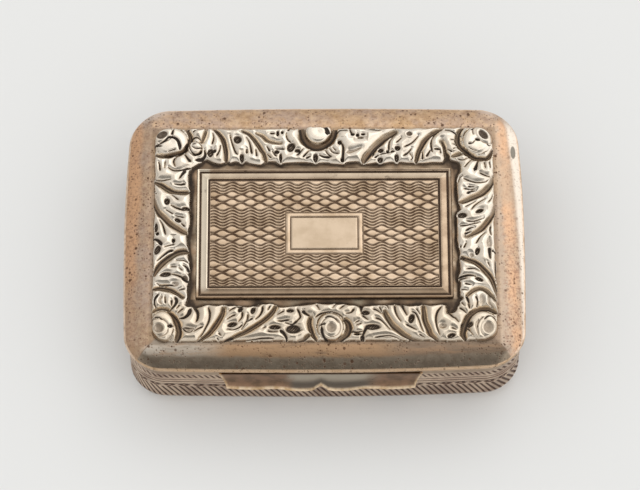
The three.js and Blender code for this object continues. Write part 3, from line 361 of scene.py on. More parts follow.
# Drilled and punched pits: middle, the two radii, and the turn in degrees
PITS = (
    (-8.7, 10.5, 0.36, 0.4, 0), (-8.25, 8.4, 0.2, 0.45, 0), (-4.65, 11.2, 0.14, 0.32, 0),
    (-5.2, 11.2, 0.25, 0.1, 0), (-4.2, 11.3, 0.12, 0.18, 0), (-3.3, 9.6, 0.35, 0.5, -20),
    (-2.65, 9.2, 0.28, 0.2, 0), (-0.85, 8.4, 0.22, 0.48, 0), (-4.35, 8.4, 0.13, 0.5, 0),
    (-4.75, 9.05, 0.25, 0.2, 0), (-11.4, 9.0, 0.27, 0.45, -10), (-11.0, 9.2, 0.15, 0.2, 0),
    (3.95, 11.05, 0.2, 0.13, 0), (3.4, 10.95, 0.15, 0.2, 0), (3.7, 10.65, 0.3, 0.08, 0),
    (2.9, 11.05, 0.18, 0.15, 0), (5.7, 9.2, 0.26, 0.26, 0), (5.65, 8.15, 0.25, 0.28, 0),
    (7.4, 9.45, 0.25, 0.27, 0), (7.3, 8.35, 0.2, 0.42, 0), (6.4, 9.05, 0.13, 0.2, 0),
    (6.9, 9.1, 0.2, 0.1, 0), (1.85, 8.15, 0.18, 0.25, 0), (1.6, 10.15, 0.2, 0.25, 0),
    (11.4, 9.35, 0.33, 0.12, 0), (-15.7, 3.5, 0.25, 0.35, 0), (-13.8, 2.7, 0.45, 0.2, 0),
    (-14.6, 1.4, 0.35, 0.2, -30), (-16.75, 0.6, 0.17, 0.5, 0), (-16.6, -0.1, 0.15, 0.2, 0),
    (-16.6, -1.9, 0.3, 0.5, -20), (-15.0, -0.9, 0.15, 0.25, 0), (-15.75, -4.65, 0.55, 0.25, 8),
    (-9.1, -10.2, 0.45, 0.25, 15), (-8.35, -8.2, 0.25, 0.15, 0), (-8.3, -8.55, 0.2, 0.3, -30),
    (-7.05, -8.65, 0.2, 0.36, -15), (-6.8, -8.05, 0.3, 0.1, 0), (-4.9, -10.5, 0.55, 0.25, 0),
    (-3.1, -10.7, 0.7, 0.45, 0), (-3.4, -8.7, 0.35, 0.2, 0), (3.2, -11.3, 0.35, 0.1, 0),
    (4.0, -8.95, 0.4, 0.25, 0), (4.7, -10.5, 0.75, 0.3, 0), (3.7, -11.7, 0.2, 0.3, 0),
    (8.55, -9.6, 0.25, 0.5, -15), (12.45, -11.45, 0.4, 0.22, 20), (15.5, 2.3, 0.4, 0.2, 25),
    (13.75, 1.85, 0.45, 0.3, 0), (15.2, -2.2, 0.2, 0.4, -15), (13.7, -2.9, 0.25, 0.2, 0),
    (15.3, -5.3, 0.4, 0.2, -25), (-16.7, 9.75, 0.4, 0.12, -10), (-15.2, -10.4, 0.25, 0.2, 0),
    (14.3, -10.3, 0.3, 0.3, 0), (15.45, 10.3, 0.25, 0.15, -20),
)

# Shallow pits with a painted grey reflection
SOFT_PITS = (
    (-14.8, -5.7, 0.35, 0.25, 0), (-13.4, -10.7, 0.5, 0.2, 0), (11.6, -10.4, 0.35, 0.25, 0),
    (15.55, -7.5, 0.3, 0.6, 0), (16.4, -1.2, 0.25, 0.55, 0), (14.6, -2.6, 0.2, 0.2, 0),
    (-15.2, -11.6, 0.3, 0.25, 0),
)

# Eyes of the scrolls, each in a bright ring: middle, radii, turn, and how dark it is
EYES = (
    (-16.3, 10.95, 0.58, 0.42, 28, 1.0), (16.05, 10.85, 0.6, 0.37, -50, 1.0),
    (-16.35, -10.65, 0.5, 0.48, 0, 0.72), (16.1, -10.7, 0.48, 0.58, 0, 0.6),
    (0.65, -10.65, 0.45, 0.52, 0, 0.58), (8.6, 11.0, 0.3, 0.26, 0, 0.9), (-13.8, -5.1, 0.32, 0.32, 0, 0.9),
    (17.0, -2.3, 0.15, 0.18, 0, 0.8),
)

# Domed scrolls: middle and the two radii
BOSSES = (
    (-15.4, 10.3, 1.75, 1.6), (15.45, 10.3, 1.5, 1.6), (-16.0, -10.35, 1.2, 1.7), (15.6, -10.4, 1.45, 1.6),
    (-0.55, 11.3, 1.35, 1.25), (0.55, -10.45, 1.35, 1.5), (-13.0, 9.5, 0.75, 0.75),
)


# Settings that a user would change


def measure(name, description, size):
    """A setting that is a length, given in millimetres."""
    return FloatProperty(name=name, description=description, default=size * MM, unit="LENGTH", precision=6)


def tone(name, description, colour):
    """A setting that is a colour."""
    return FloatVectorProperty(name=name, description=description, default=colour, subtype="COLOR", size=3)


class VinaigretteBorderSettings(bpy.types.PropertyGroup):
    """Sizes of the carved border"""

    cell: measure("Cell", "Spacing of the carved surface's points", 0.056)
    foot: measure("Foot", "Height of the leaves' edges above the lid", 0.24)
    swell: measure("Swell", "How far the middle of a leaf rises above its edges", 0.27)
    lobe: measure("Lobe", "How far a lobe swells between two gouges", 0.2)
    roundness: measure("Roundness", "Distance over which a leaf rounds up from its edge", 0.25)
    boss_height: measure("Scroll height", "Height of the domed scrolls above the lid", 0.84)
    channel_depth: measure("Channel depth", "Depth of the channels between the leaves", 0.34)
    gouge_depth: measure("Gouge depth", "Depth of the graver's strokes in the leaves", 0.16)


class VinaigretteTurningSettings(bpy.types.PropertyGroup):
    """Sizes of the engine turning"""

    wave_length: measure("Wave length", "Length of one wave on the lid's panel", 1.865)
    wave_rise: measure("Wave rise", "How far a line swings to each side", 0.175)
    line_width: measure("Line width", "Width of a cut line", 0.16)
    line_depth: measure("Line depth", "Depth of a cut line", 0.07)
    lid_stroke_pitch: measure("Lid stroke pitch", "Spacing of the leaning strokes on the lid's wall", 0.58)
    case_stroke_pitch: measure(
        "Case stroke pitch", "Spacing of the leaning strokes on the case's wall", 0.585)
    lens_pitch: measure("Lens pitch", "Spacing of the pointed ovals on the case's wall", 1.45)
    wall_depth: measure("Wall cut depth", "Depth of the cuts in both walls", 0.09)


class VinaigretteHingeSettings(bpy.types.PropertyGroup):
    """Sizes of the knuckles"""

    length: measure("Length", "Length of the lid's hinge", 26.0)
    radius: measure("Radius", "Outer radius of a knuckle", 0.7)
    bore: measure("Bore", "Radius of the hole for the pin", 0.37)
    count: IntProperty(name="Knuckles", description="Number of knuckles", default=7, min=3)
    gap: measure("Gap", "Space between two knuckles", 0.12)


class VinaigretteFinishSettings(bpy.types.PropertyGroup):
    """Colours of the metals and the sponge"""

    bright: tone("Bright silver", "Worn silver on the leaves and scrolls", (0.78, 0.70, 0.59))
    tan: tone("Tan tarnish", "Warm tarnish in the channels", (0.25, 0.18, 0.115))
    # The oxide colour also paints the shade in the trough and beside the channels
    oxide: tone("Black oxide", "Old tarnish in the deepest cuts", (0.045, 0.033, 0.025))
    margin: tone("Margin", "Tarnish on the plain margin of the lid", (0.47, 0.30, 0.165))
    panel: tone("Panel", "Silver between the turned lines", (0.68, 0.52, 0.37))
    wall: tone("Walls", "Silver of the turned walls", (0.64, 0.50, 0.38))
    gilt: tone("Gilding", "Gilded silver inside the box", (0.86, 0.60, 0.26))
    sponge: tone("Sponge", "Dry natural sponge", (0.55, 0.34, 0.14))


class VinaigretteStageSettings(bpy.types.PropertyGroup):
    """Floor and light"""

    floor: tone("Floor", "Colour of the pale floor", (0.745, 0.745, 0.73))
    sky: FloatProperty(name="Sky", description="Strength of the even light all round", default=1.1)
    dark: FloatProperty(
        name="Dark front", description="Light left in the part of the room behind the viewer",
        default=0.25, subtype="FACTOR")
    lamp: FloatProperty(
        name="Lamp", description="Strength of the soft lamp above the back",
        default=0.35, unit="POWER")


# Sums of sockets


class Wire:
    """An output socket that takes part in Python sums, adding Math nodes as it goes."""

    def __init__(self, graph, socket):
        self.graph = graph
        self.socket = socket

    def maths(self, operation, *others, clamp=False):
        """The result of a Math node."""
        values = dict(enumerate((self,) + others))
        return self.graph.node("ShaderNodeMath", values, operation=operation, use_clamp=clamp)

    def __add__(self, other):
        return self.maths("ADD", other)

    def __sub__(self, other):
        return self.maths("SUBTRACT", other)

    def __mul__(self, other):
        return self.maths("MULTIPLY", other)

    def __truediv__(self, other):
        return self.maths("DIVIDE", other)

    def __rsub__(self, other):
        return self.graph.node("ShaderNodeMath", {0: other, 1: self}, operation="SUBTRACT")

    def __neg__(self):
        return self * -1.0

    __radd__ = __add__
    __rmul__ = __mul__

    def size(self):
        return self.maths("ABSOLUTE")

    def cosine(self):
        return self.maths("COSINE")

    def fraction(self):
        return self.maths("FRACT")

    def least(self, other):
        return self.maths("MINIMUM", other)

    def most(self, other):
        return self.maths("MAXIMUM", other)

    def limited(self):
        return self.maths("ADD", 0.0, clamp=True)

    def step(self, low, high, start=0.0, end=1.0):
        """Goes smoothly from start to end while the value goes from low to high."""
        values = {"Value": self, "From Min": low, "From Max": high, "To Min": start, "To Max": end}
        return self.graph.node("ShaderNodeMapRange", values, interpolation_type="SMOOTHSTEP")

    def fall(self, low, high):
        """Goes smoothly from 1 to 0 while the value goes from low to high."""
        return self.step(low, high, 1.0, 0.0)

    def part(self, name):
        """Another output of the same node."""
        return Wire(self.graph, self.socket.node.outputs[name])


class Graph:
    """A node tree of either kind that is filled by calls."""

    def __init__(self, tree):
        self.tree = tree

    def node(self, kind, values=None, output=0, **settings):
        """Adds a node, fills its inputs and returns one of its outputs."""
        made = self.tree.nodes.new(kind)
        for name, value in settings.items():
            setattr(made, name, value)
        for name, value in (values or {}).items():
            self.fill(made.inputs[name], value)
        return Wire(self, made.outputs[output]) if len(made.outputs) else made

    def fill(self, socket, value):
        """Joins a wire to an input, or sets its value."""
        if isinstance(value, Wire):
            self.tree.links.new(value.socket, socket)
        else:
            socket.default_value = value

    def vector(self, operation, *operands):
        """The result of a Vector Math node."""
        output = "Value" if operation in ("LENGTH", "DISTANCE", "DOT_PRODUCT") else "Vector"
        return self.node("ShaderNodeVectorMath", dict(enumerate(operands)), output, operation=operation)

    def split(self, vector):
        """The three parts of a vector."""
        first = self.node("ShaderNodeSeparateXYZ", {0: vector})
        return first, first.part("Y"), first.part("Z")

    def mixed(self, share, first, second):
        """A colour between two colours."""
        values = {"Factor": share, "A": colour4(first), "B": colour4(second)}
        made = self.tree.nodes.new("ShaderNodeMix")
        made.data_type = "RGBA"
        sockets = {socket.name: socket for socket in made.inputs if socket.enabled}
        for name, value in values.items():
            self.fill(sockets[name], value)
        return Wire(self, next(socket for socket in made.outputs if socket.enabled))


def colour4(value):
    """A colour with full cover, unless it is a wire."""
    return value if isinstance(value, Wire) else (*value[:3], 1.0)


class Finish(Graph):
    """A material in the making, with the sums for its colour, roughness and surface."""

    def __init__(self, name):
        self.material = bpy.data.materials.new(name)
        self.material.use_nodes = True
        super().__init__(self.material.node_tree)
        self.tree.nodes.clear()
        self.place = self.node("ShaderNodeTexCoord", output="Object")
        self.tones = bpy.context.scene.vinaigrette_finish
        self.sizes = bpy.context.scene.vinaigrette_turning

    def across(self):
        """How far to the right and to the back a place is, in millimetres."""
        x, y, _ = self.split(self.place)
        return x / MM, y / MM

    def noise(self, scale, detail=4.0, roughness=0.55, place=None):
        """Noise from 0 to 1 at so many cells a metre."""
        values = {"Vector": place or self.place, "Scale": scale, "Detail": detail, "Roughness": roughness}
        return self.node("ShaderNodeTexNoise", values)

    def attribute(self, name):
        """A value that the mesh keeps per point."""
        return self.node("ShaderNodeAttribute", output="Fac", attribute_name=name)

    def pits(self, scale, share, size):
        """Small round pits: 1 in a pit, 0 outside, in a share of the cells."""
        values = {"Vector": self.place, "Scale": scale, "Randomness": 1.0}
        cell = self.node("ShaderNodeTexVoronoi", values, "Distance", feature="F1")
        chance = self.split(cell.part("Color"))[0]
        width = size * chance.step(1.0 - share, 1.0, 0.35, 1.0)
        return chance.step(1.0 - share, 1.0 - share + 0.01) * ((width - cell) / (0.4 * size)).limited()

    def finish(self, colour, roughness, metallic=1.0, height=None, relief=0.0001, strength=0.5, **constants):
        """Joins the sums to the shader. Constants are set on the shader's own sockets."""
        values = {"Base Color": colour4(colour), "Roughness": roughness, "Metallic": metallic}
        if height is not None:
            bump = {"Height": height, "Distance": relief, "Strength": strength}
            values["Normal"] = self.node("ShaderNodeBump", bump)
        values.update({name.replace("_", " "): value for name, value in constants.items()})
        shader = self.node("ShaderNodeBsdfPrincipled", values)
        self.node("ShaderNodeOutputMaterial", {"Surface": shader})
        return self.material


# Meshes from arrays of points in millimetres


def placed(name, data):
    """A new object in the scene."""
    made = bpy.data.objects.new(name, data)
    bpy.context.scene.collection.objects.link(made)
    return made


def keep_mark(mesh, name, values):
    """Keeps a value per point as an attribute of the mesh."""
    layer = mesh.attributes.new(name, "FLOAT", "POINT")
    layer.data.foreach_set("value", np.asarray(values, np.float32))


def mesh_of(name, points, *face_sets, marks=None):
    """A closed mesh object with outward faces. Marks are values per point, kept as attributes."""
    points = np.asarray(points, float)
    if signed_volume(points, face_sets) < 0:
        face_sets = [faces[:, ::-1] for faces in face_sets]
    corners = np.concatenate([faces.reshape(-1) for faces in face_sets]).astype(np.int32)
    sizes = np.concatenate([np.full(len(faces), faces.shape[1]) for faces in face_sets])
    starts = np.concatenate([[0], np.cumsum(sizes)[:-1]]).astype(np.int32)
    mesh = bpy.data.meshes.new(name)
    mesh.vertices.add(len(points))
    mesh.vertices.foreach_set("co", (points * MM).astype(np.float32).ravel())
    mesh.loops.add(len(corners))
    mesh.loops.foreach_set("vertex_index", corners)
    mesh.polygons.add(len(sizes))
    mesh.polygons.foreach_set("loop_start", starts)
    mesh.update(calc_edges=True)
    mesh.validate()
    mesh.polygons.foreach_set("use_smooth", np.ones(len(mesh.polygons), bool))
    for mark, values in (marks or {}).items():
        keep_mark(mesh, mark, values)
    return placed(name, mesh)


def signed_volume(points, face_sets):
    """Six times the volume that the faces enclose, below 0 when they face inwards."""
    total = 0.0
    for faces in face_sets:
        for k in range(1, faces.shape[1] - 1):
            a, b, c = points[faces[:, 0]], points[faces[:, k]], points[faces[:, k + 1]]
            total += np.einsum("ij,ij->i", a, np.cross(b, c)).sum()
    return total


def crease(made, degrees):
    """Keeps the edges sharper than an angle crisp."""
    made.data.set_sharp_from_angle(angle=math.radians(degrees))


def skin(name, loops, ring, marks=None):
    """Joins loops of as many points. A ring joins the last loop to the first; otherwise both ends close."""
    loops = np.asarray(loops, float)
    count, around = loops.shape[:2]
    points = loops.reshape(-1, 3)
    k, i = np.meshgrid(np.arange(count if ring else count - 1), np.arange(around), indexing="ij")
    after, above = (i + 1) % around, (k + 1) % count
    quads = np.stack([k * around + i, k * around + after, above * around + after, above * around + i], -1)
    sets = [quads.reshape(-1, 4)]
    values = {mark: np.repeat(np.asarray(v, float), around) for mark, v in (marks or {}).items()}
    if not ring:
        points = np.vstack([points, loops[0].mean(0), loops[-1].mean(0)])
        j = np.arange(around)
        low, high = np.full(around, count * around), np.full(around, count * around + 1)
        last = (count - 1) * around
        sets.append(np.stack([low, (j + 1) % around, j], -1))
        sets.append(np.stack([high, last + j, last + (j + 1) % around], -1))
        values = {mark: np.append(v, [v[0], v[-1]]) for mark, v in values.items()}
    return mesh_of(name, points, *sets, marks=values)


def slab(name, front, back, marks=None):
    """Closes the space between two grids of points, one behind the other."""
    front, back = np.asarray(front, float), np.asarray(back, float)
    rows, columns = front.shape[:2]
    number = np.arange(rows * columns).reshape(rows, columns)
    quads = np.stack([number[:-1, :-1], number[:-1, 1:], number[1:, 1:], number[1:, :-1]], -1).reshape(-1, 4)
    rim = np.concatenate([number[0, :-1], number[:-1, -1], number[-1, :0:-1], number[:0:-1, 0]])
    after = np.roll(rim, -1)
    sides = np.stack([rim, rim + number.size, after + number.size, after], -1)
    points = np.vstack([front.reshape(-1, 3), back.reshape(-1, 3)])
    values = {mark: np.tile(np.asarray(v, float).ravel(), 2) for mark, v in (marks or {}).items()}
    return mesh_of(name, points, quads, quads[:, ::-1] + number.size, sides, marks=values)


def loop_of(half_x, half_y, radius, bow, z, corner_steps=20, side_steps=40):
    """A rounded rectangle, counter-clockwise from above. A bowed one is also a little uneven."""
    points = []
    centres = [(1, 1), (-1, 1), (-1, -1), (1, -1)]
    for corner, (sx, sy) in enumerate(centres):
        angles = (corner + np.arange(corner_steps + 1) / corner_steps) * (math.pi / 2)
        x = sx * (half_x - radius) + radius * np.cos(angles)
        y = sy * (half_y - radius) + radius * np.sin(angles)
        nx, ny = centres[(corner + 1) % 4]
        end = (corner + 1) * (math.pi / 2)
        end_x = nx * (half_x - radius) + radius * math.cos(end)
        end_y = ny * (half_y - radius) + radius * math.sin(end)
        t = np.arange(1, side_steps) / side_steps
        points.append(np.stack([x, y], -1))
        points.append(np.stack([x[-1] + (end_x - x[-1]) * t, y[-1] + (end_y - y[-1]) * t], -1))
    flat = np.vstack(points)
    x, y = flat[:, 0], flat[:, 1]
    uneven = bow / SIDE_BOW
    back, front, right = (np.clip(share, 0, None) for share in (y / half_y, -y / half_y, x / half_x))
    bent_x = x - x / half_x * (bow * (y / half_y) ** 2 + uneven * SIDE_TAPER * back**2)
    bent_y = y - y / half_y * bow * (x / half_x) ** 2 + uneven * FRONT_DRAW * front * right**2
    return np.stack([bent_x, bent_y, np.full(len(flat), z)], -1)


def inset(distance, z, radius=None, **steps):
    """The box's own outline, moved in by a distance."""
    radius = max(CORNER_RADIUS - distance, 0.3) if radius is None else radius
    return loop_of(HALF_LENGTH - distance, HALF_WIDTH - distance, radius, SIDE_BOW, z, **steps)


def dress(made, material, body, slot, *nodes):
    """Gives a finished piece its material and body, and hides the nodes that it stands for. The slot is not
    used.
    """
    if material is not None:
        made.data.materials.clear()
        made.data.materials.append(material)
    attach(made, body)
    if nodes:
        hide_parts(*nodes)


def finish_nodes(material, *nodes):
    """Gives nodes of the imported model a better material."""
    for name in nodes:
        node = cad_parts[name]
        if not node.material_slots:
            node.data.materials.append(material)
        for slot in node.material_slots:
            slot.link = "OBJECT"
            slot.material = material


def shared(make):
    """The material that a function makes, made the first time it is asked for."""
    return bpy.data.materials.get(make.__name__) or make(make.__name__)


# Carved relief


def smooth_path(flat, steps=7):
    """Points of a smooth curve through pairs of numbers."""
    knots = np.asarray(flat, float).reshape(-1, 2)
    if len(knots) == 2:
        return knots[0] + (knots[1] - knots[0]) * np.linspace(0, 1, 4)[:, None]
    padded = np.vstack([2 * knots[0] - knots[1], knots, 2 * knots[-1] - knots[-2]])
    t = (np.arange(steps) / steps)[:, None]
    parts = []
    for a, b, c, d in zip(padded, padded[1:], padded[2:], padded[3:]):
        bend = (2 * a - 5 * b + 4 * c - d) * t**2
        parts.append(0.5 * (2 * b + (c - a) * t + bend + (3 * b - a - 3 * c + d) * t**3))
    return np.vstack(parts + [knots[-1:]])


def smoothed(field, cells):
    """A field smoothed over so many cells each way."""
    weights = np.hanning(2 * cells + 3)[1:-1]
    weights /= weights.sum()

    def blend(row):
        return np.convolve(np.pad(row, cells, mode="edge"), weights, "valid")

    return np.apply_along_axis(blend, 1, np.apply_along_axis(blend, 0, field))


def ripple(x, y, scale, seed):
    """Smooth unevenness from -1 to 1, from a few crossing waves."""
    total = np.zeros_like(x)
    for k in range(5):
        turn = seed + 2.4 * k
        along = x * math.cos(turn) + y * math.sin(turn)
        total += np.sin(scale * (1 + 0.37 * k) * along + 1.7 * seed * (k + 1))
    return total / 5


def unit(values):
    """Keeps values between 0 and 1."""
    return np.clip(values, 0, 1)


def raise_in(field, part, values):
    """Raises part of a field to these values where it is lower."""
    field[part] = np.maximum(field[part], values)


def lower_in(field, part, values):
    """Lowers part of a field to these values where it is higher."""
    field[part] = np.minimum(field[part], values)


class Relief:
    """A carved height field over the lid, in millimetres, with its tarnish and its painted shade."""

    def __init__(self, sizes):
        self.cell = sizes.cell / MM
        self.sizes = sizes
        half_x, half_y = BORDER_HALF_X + BORDER_SPARE, BORDER_HALF_Y + BORDER_SPARE
        self.xs = np.arange(-half_x, half_x + self.cell, self.cell)
        self.ys = np.arange(-half_y, half_y + self.cell, self.cell)
        self.x, self.y = np.meshgrid(self.xs, self.ys, indexing="ij")
        self.near = np.full(self.x.shape, FAR)
        self.lobe = np.full(self.x.shape, FAR)
        self.lift, self.worn, self.cut, self.soot, self.warm = (np.zeros(self.x.shape) for _ in range(5))

    def window(self, low, high, margin):
        """The part of the field between two corners and a margin round them."""
        i0, i1 = np.searchsorted(self.xs, [low[0] - margin, high[0] + margin])
        j0, j1 = np.searchsorted(self.ys, [low[1] - margin, high[1] + margin])
        return slice(i0, i1), slice(j0, j1)

    def reach(self, path, margin):
        """In a window: distance to a path, share of the way along it, and distance to the right of it."""
        part = self.window(path.min(0), path.max(0), margin)
        x, y = self.x[part], self.y[part]
        best = np.full(x.shape, FAR)
        along, side = np.zeros(x.shape), np.zeros(x.shape)
        for k, (a, b) in enumerate(zip(path, path[1:])):
            step = b - a
            share = unit(((x - a[0]) * step[0] + (y - a[1]) * step[1]) / max(step @ step, 1e-9))
            distance = np.hypot(x - a[0] - share * step[0], y - a[1] - share * step[1])
            closer = distance < best
            best = np.where(closer, distance, best)
            along = np.where(closer, (k + share) / (len(path) - 1), along)
            right = ((x - a[0]) * step[1] - (y - a[1]) * step[0]) / max(math.hypot(*step), 1e-9)
            side = np.where(closer, right, side)
        return part, best, along, side

    def channel(self, width, flat, soot, shaded, turned=False):
        """A channel that is deepest and blackest on its side towards the front right, or away from it; that
        side's black is partly painted shade.
        """
        path = smooth_path(flat)
        part, distance, along, side = self.reach(path, CHANNEL_REACH)
        chord = path[-1] - path[0]
        side = side * (1 if (0.6 * chord[0] + 0.8 * chord[1] > 0) != turned else -1)
        half = 0.5 * width * (0.5 + 0.55 * np.sqrt(np.sin(np.pi * unit(along)) + 1e-6))
        half *= 1 + 0.12 * ripple(self.x[part], self.y[part], 2.6, 0.7)
        lower_in(self.near, part, distance - half)
        inside = unit(1.5 * (1 - distance / (half + STROKE_BLUR))) ** 0.8
        across = np.clip(side / half, -1, 1)
        depth = self.sizes.channel_depth / MM * (0.75 + 0.25 * across)
        raise_in(self.cut, part, depth * inside)
        # painted shade: darker across the channel towards its deeper side
        dark = soot + shaded * unit((across + 0.7) / 1.3) ** 1.4
        cover = unit(0.5 + (half - distance) / CHANNEL_BLUR)
        raise_in(self.soot, part, cover * dark)
        raise_in(self.warm, part, unit(0.5 + (half - 0.03 - distance) / CHANNEL_BLUR))
        ends = unit(6 * np.minimum(along, 1 - along))
        raise_in(self.lift, part, 0.07 * ends * np.exp(-(((side + half + 0.12) / 0.11) ** 2)))

    def gouge(self, width, flat, depth=1.0, soot=1.0):
        """A stroke that widens towards the panel."""
        path = smooth_path(flat)
        part, distance, along, _ = self.reach(path, STROKE_REACH)
        first, last = (max(abs(x) - FRAME_HALF_X, abs(y) - FRAME_HALF_Y) for x, y in (path[0], path[-1]))
        wide = along if last < first else 1 - along
        half = 0.5 * width * (0.4 + 1.15 * wide) * np.sqrt(np.clip(6 * np.minimum(along, 1 - along), 0.02, 1))
        lower_in(self.lobe, part, distance - half)
        inside = unit(1 - distance / (half + STROKE_BLUR))
        depth *= self.sizes.gouge_depth / MM * min(1.0, 0.5 + 2.5 * width)
        raise_in(self.cut, part, depth * unit(1.4 * inside))
        cover = unit(0.5 + (half - distance) / STROKE_BLUR)
        raise_in(self.soot, part, cover * soot)
        raise_in(self.warm, part, 0.4 * np.exp(-np.clip(distance - half, 0, None) / 0.07))

    def oval(self, x, y, radius_x, radius_y, turn):
        """In a window: distance from an oval's middle in radii, with its smaller radius."""
        margin = 1.6 * max(radius_x, radius_y) + 0.2
        part = self.window((x, y), (x, y), margin)
        angle = math.radians(turn)
        dx, dy = self.x[part] - x, self.y[part] - y
        u = dx * math.cos(angle) + dy * math.sin(angle)
        v = dy * math.cos(angle) - dx * math.sin(angle)
        return part, np.hypot(u / radius_x, v / radius_y), min(radius_x, radius_y)

    def pit(self, x, y, radius_x, radius_y, turn, depth=1.0, soot=1.0):
        """A drilled or punched hollow, hatched inside."""
        part, away, small = self.oval(x, y, radius_x, radius_y, turn)
        hollow = unit(1.2 - away) ** 0.7
        lower_in(self.lobe, part, (away - 1) * small)
        raise_in(self.cut, part, depth * self.sizes.channel_depth / MM * hollow)
        hatch = 1 - 0.3 * unit(1.1 - away) * (1 + np.sin(24 * (self.x[part] - self.y[part])))
        cover = unit(0.5 + (1 - away) * small / STROKE_BLUR) * hatch
        raise_in(self.soot, part, cover * soot)
        raise_in(self.warm, part, 0.3 * unit(1.5 - away))

    def dome(self, height, x, y, radius_x, radius_y):
        """A domed scroll with a small dimple."""
        part, away, small = self.oval(x, y, radius_x, radius_y, 0)
        top = self.sizes.boss_height / MM
        dimple = 0.13 * unit(1 - away / 0.75) ** 0.6
        crown = 0.3 + (top - 0.3) * np.sqrt(unit(1 - away**3)) - dimple
        outside = np.minimum(self.near[part], (away - 1) * small)
        self.near[part] = np.where(away > 1, outside, self.near[part])
        height[part] = np.where(away < 1, np.maximum(height[part] * 0.6, crown), height[part])

    def eye(self, height, x, y, radius_x, radius_y, turn, soot):
        """A hatched hollow in a raised ring."""
        part, away, small = self.oval(x, y, radius_x, radius_y, turn)
        here_x, here_y = self.x[part], self.y[part]
        hollow = unit(1.15 - away) ** 0.6
        ring = np.exp(-(((away - 1.28) * small / 0.09) ** 2))
        height[part] += 0.05 * ring - 0.14 * hollow
        if small > 0.34:
            angle = np.arctan2(here_y - y, here_x - x) / (2 * math.pi) + 0.5
            groove = np.exp(-(((away - 1.75 - 0.55 * angle) * small / 0.07) ** 2)) * unit(4 * angle)
            height[part] -= 0.1 * groove
            raise_in(self.soot, part, 0.55 * groove * unit(angle * 1.4))
            raise_in(self.warm, part, 0.7 * groove)
        hatch = 0.78 + 0.22 * np.sin(31 * (here_x + 0.6 * here_y)) * np.sin(27 * (here_y - here_x))
        cover = unit(0.5 + (1 - away) * small / STROKE_BLUR) * hatch
        raise_in(self.soot, part, cover * soot)
        raise_in(self.warm, part, 0.5 * unit(1.4 - away))

    def edges(self):
        """Distance inwards from the outer edge and outwards from the leaves' inner edge."""
        dx = np.abs(self.x) - (BORDER_HALF_X - BORDER_CORNER)
        dy = np.abs(self.y) - (BORDER_HALF_Y - BORDER_CORNER)
        corner = np.hypot(np.maximum(dx, 0), np.maximum(dy, 0))
        outside = corner + np.minimum(np.maximum(dx, dy), 0) - BORDER_CORNER
        outside += 0.09 * (1 + ripple(self.x, self.y, 1.7, 2.9))
        path = smooth_path(LEAF_EDGE + LEAF_EDGE[:2], 3)
        inner = np.full(self.x.shape, FAR)
        for a, b in zip(path, path[1:]):
            part, distance, _, _ = self.reach(np.array([a, b]), CHANNEL_REACH)
            inner[part] = np.minimum(inner[part], distance)
        inside = np.zeros(self.x.shape, bool)
        for (x0, y0), (x1, y1) in zip(path, path[1:]):
            if y0 == y1:
                continue
            crossing = (self.y > min(y0, y1)) & (self.y <= max(y0, y1))
            inside ^= crossing & (self.x < x0 + (self.y - y0) * (x1 - x0) / (y1 - y0))
        return -outside, np.where(inside, -inner, inner)

    def carve(self):
        """The height above the ornament's base, once everything has been cut."""
        sizes = self.sizes
        outer, inner = self.edges()
        for width, *flat in TAN_CHANNELS:
            self.channel(width, flat, 0.3, 0.62, flat[1] < -7 or flat[0] < -16)
        for width, *flat in DARK_CHANNELS:
            self.channel(width, flat, 0.5, 0.45)
        for width, *flat in GOUGES:
            self.gouge(width, flat)
        for width, *flat in SOFT_GOUGES:
            self.gouge(width, flat, 0.7, 0.35)
        for pit in PITS:
            self.pit(*pit)
        for pit in SOFT_PITS:
            self.pit(*pit, depth=0.5, soot=0.4)
        before = np.minimum(np.minimum(self.near, outer), inner)
        rise = 1 - np.exp(-((np.clip(before, 0, None) / (sizes.roundness / MM)) ** 1.25))
        between = np.minimum(before, self.lobe)
        swell = 1 - np.exp(-((np.clip(between, 0, None) / 0.3) ** 1.3))
        height = (sizes.foot + sizes.swell * rise + sizes.lobe * swell * rise) / MM + self.lift * rise
        height += 0.035 * ripple(self.x, self.y, 2.1, 1.3) * rise
        for boss in BOSSES:
            self.dome(height, *boss)
        for eye in EYES:
            self.eye(height, *eye)
        height -= np.minimum(self.cut, height * 0.85)
        height *= unit(0.5 + inner / 0.14) ** 0.7
        floor = 0.02 + 0.02 * ripple(self.x, self.y, 3.0, 0.4)
        height = np.maximum(height, floor)
        rim = unit(outer / 0.2)
        height = height * np.sqrt(rim * (2 - rim))
        height = np.where(outer < 0.02, -0.09, height)
        near = np.minimum(np.minimum(self.near, outer), inner)
        trough = unit(0.5 - inner / 0.08)
        # painted shadow in the trough under the leaves' inner edge, deeper at the ends and the back left
        shadow = np.exp(-((np.clip(-inner, 0, None) / 0.22) ** 2))
        ends = unit((np.abs(self.x) - FRAME_HALF_X) / 0.3)
        corners = unit(1.4 - np.hypot(np.abs(self.x) - 13.0, np.abs(self.y) - 8.0))
        deeper_shadow = np.maximum(ends, (self.x < -9) * (self.y > 0))
        back, front = self.y > FRAME_HALF_Y, self.y < -FRAME_HALF_Y
        streaks_and_shadow = 0.32 + 0.16 * back + 0.22 * ends + (0.3 + 0.3 * deeper_shadow) * shadow
        streaks_and_shadow = streaks_and_shadow + 0.32 * corners + 0.2 * front
        streaks_and_shadow += 0.4 * ripple(self.x, self.y, 1.3, 2.2) + 0.25 * ends * ripple(5 * self.x, self.y, 1.1, 0.6)
        raise_in(self.soot, ..., trough * np.clip(streaks_and_shadow, 0, 0.84))
        raise_in(self.warm, ..., trough)
        # painted shade: a dark line along the border's outer edge, where it stands on the margin
        edge = unit(1 - outer / 0.12) * (0.45 + 0.35 * ripple(self.x, self.y, 1.6, 3.1))
        raise_in(self.soot, ..., edge)
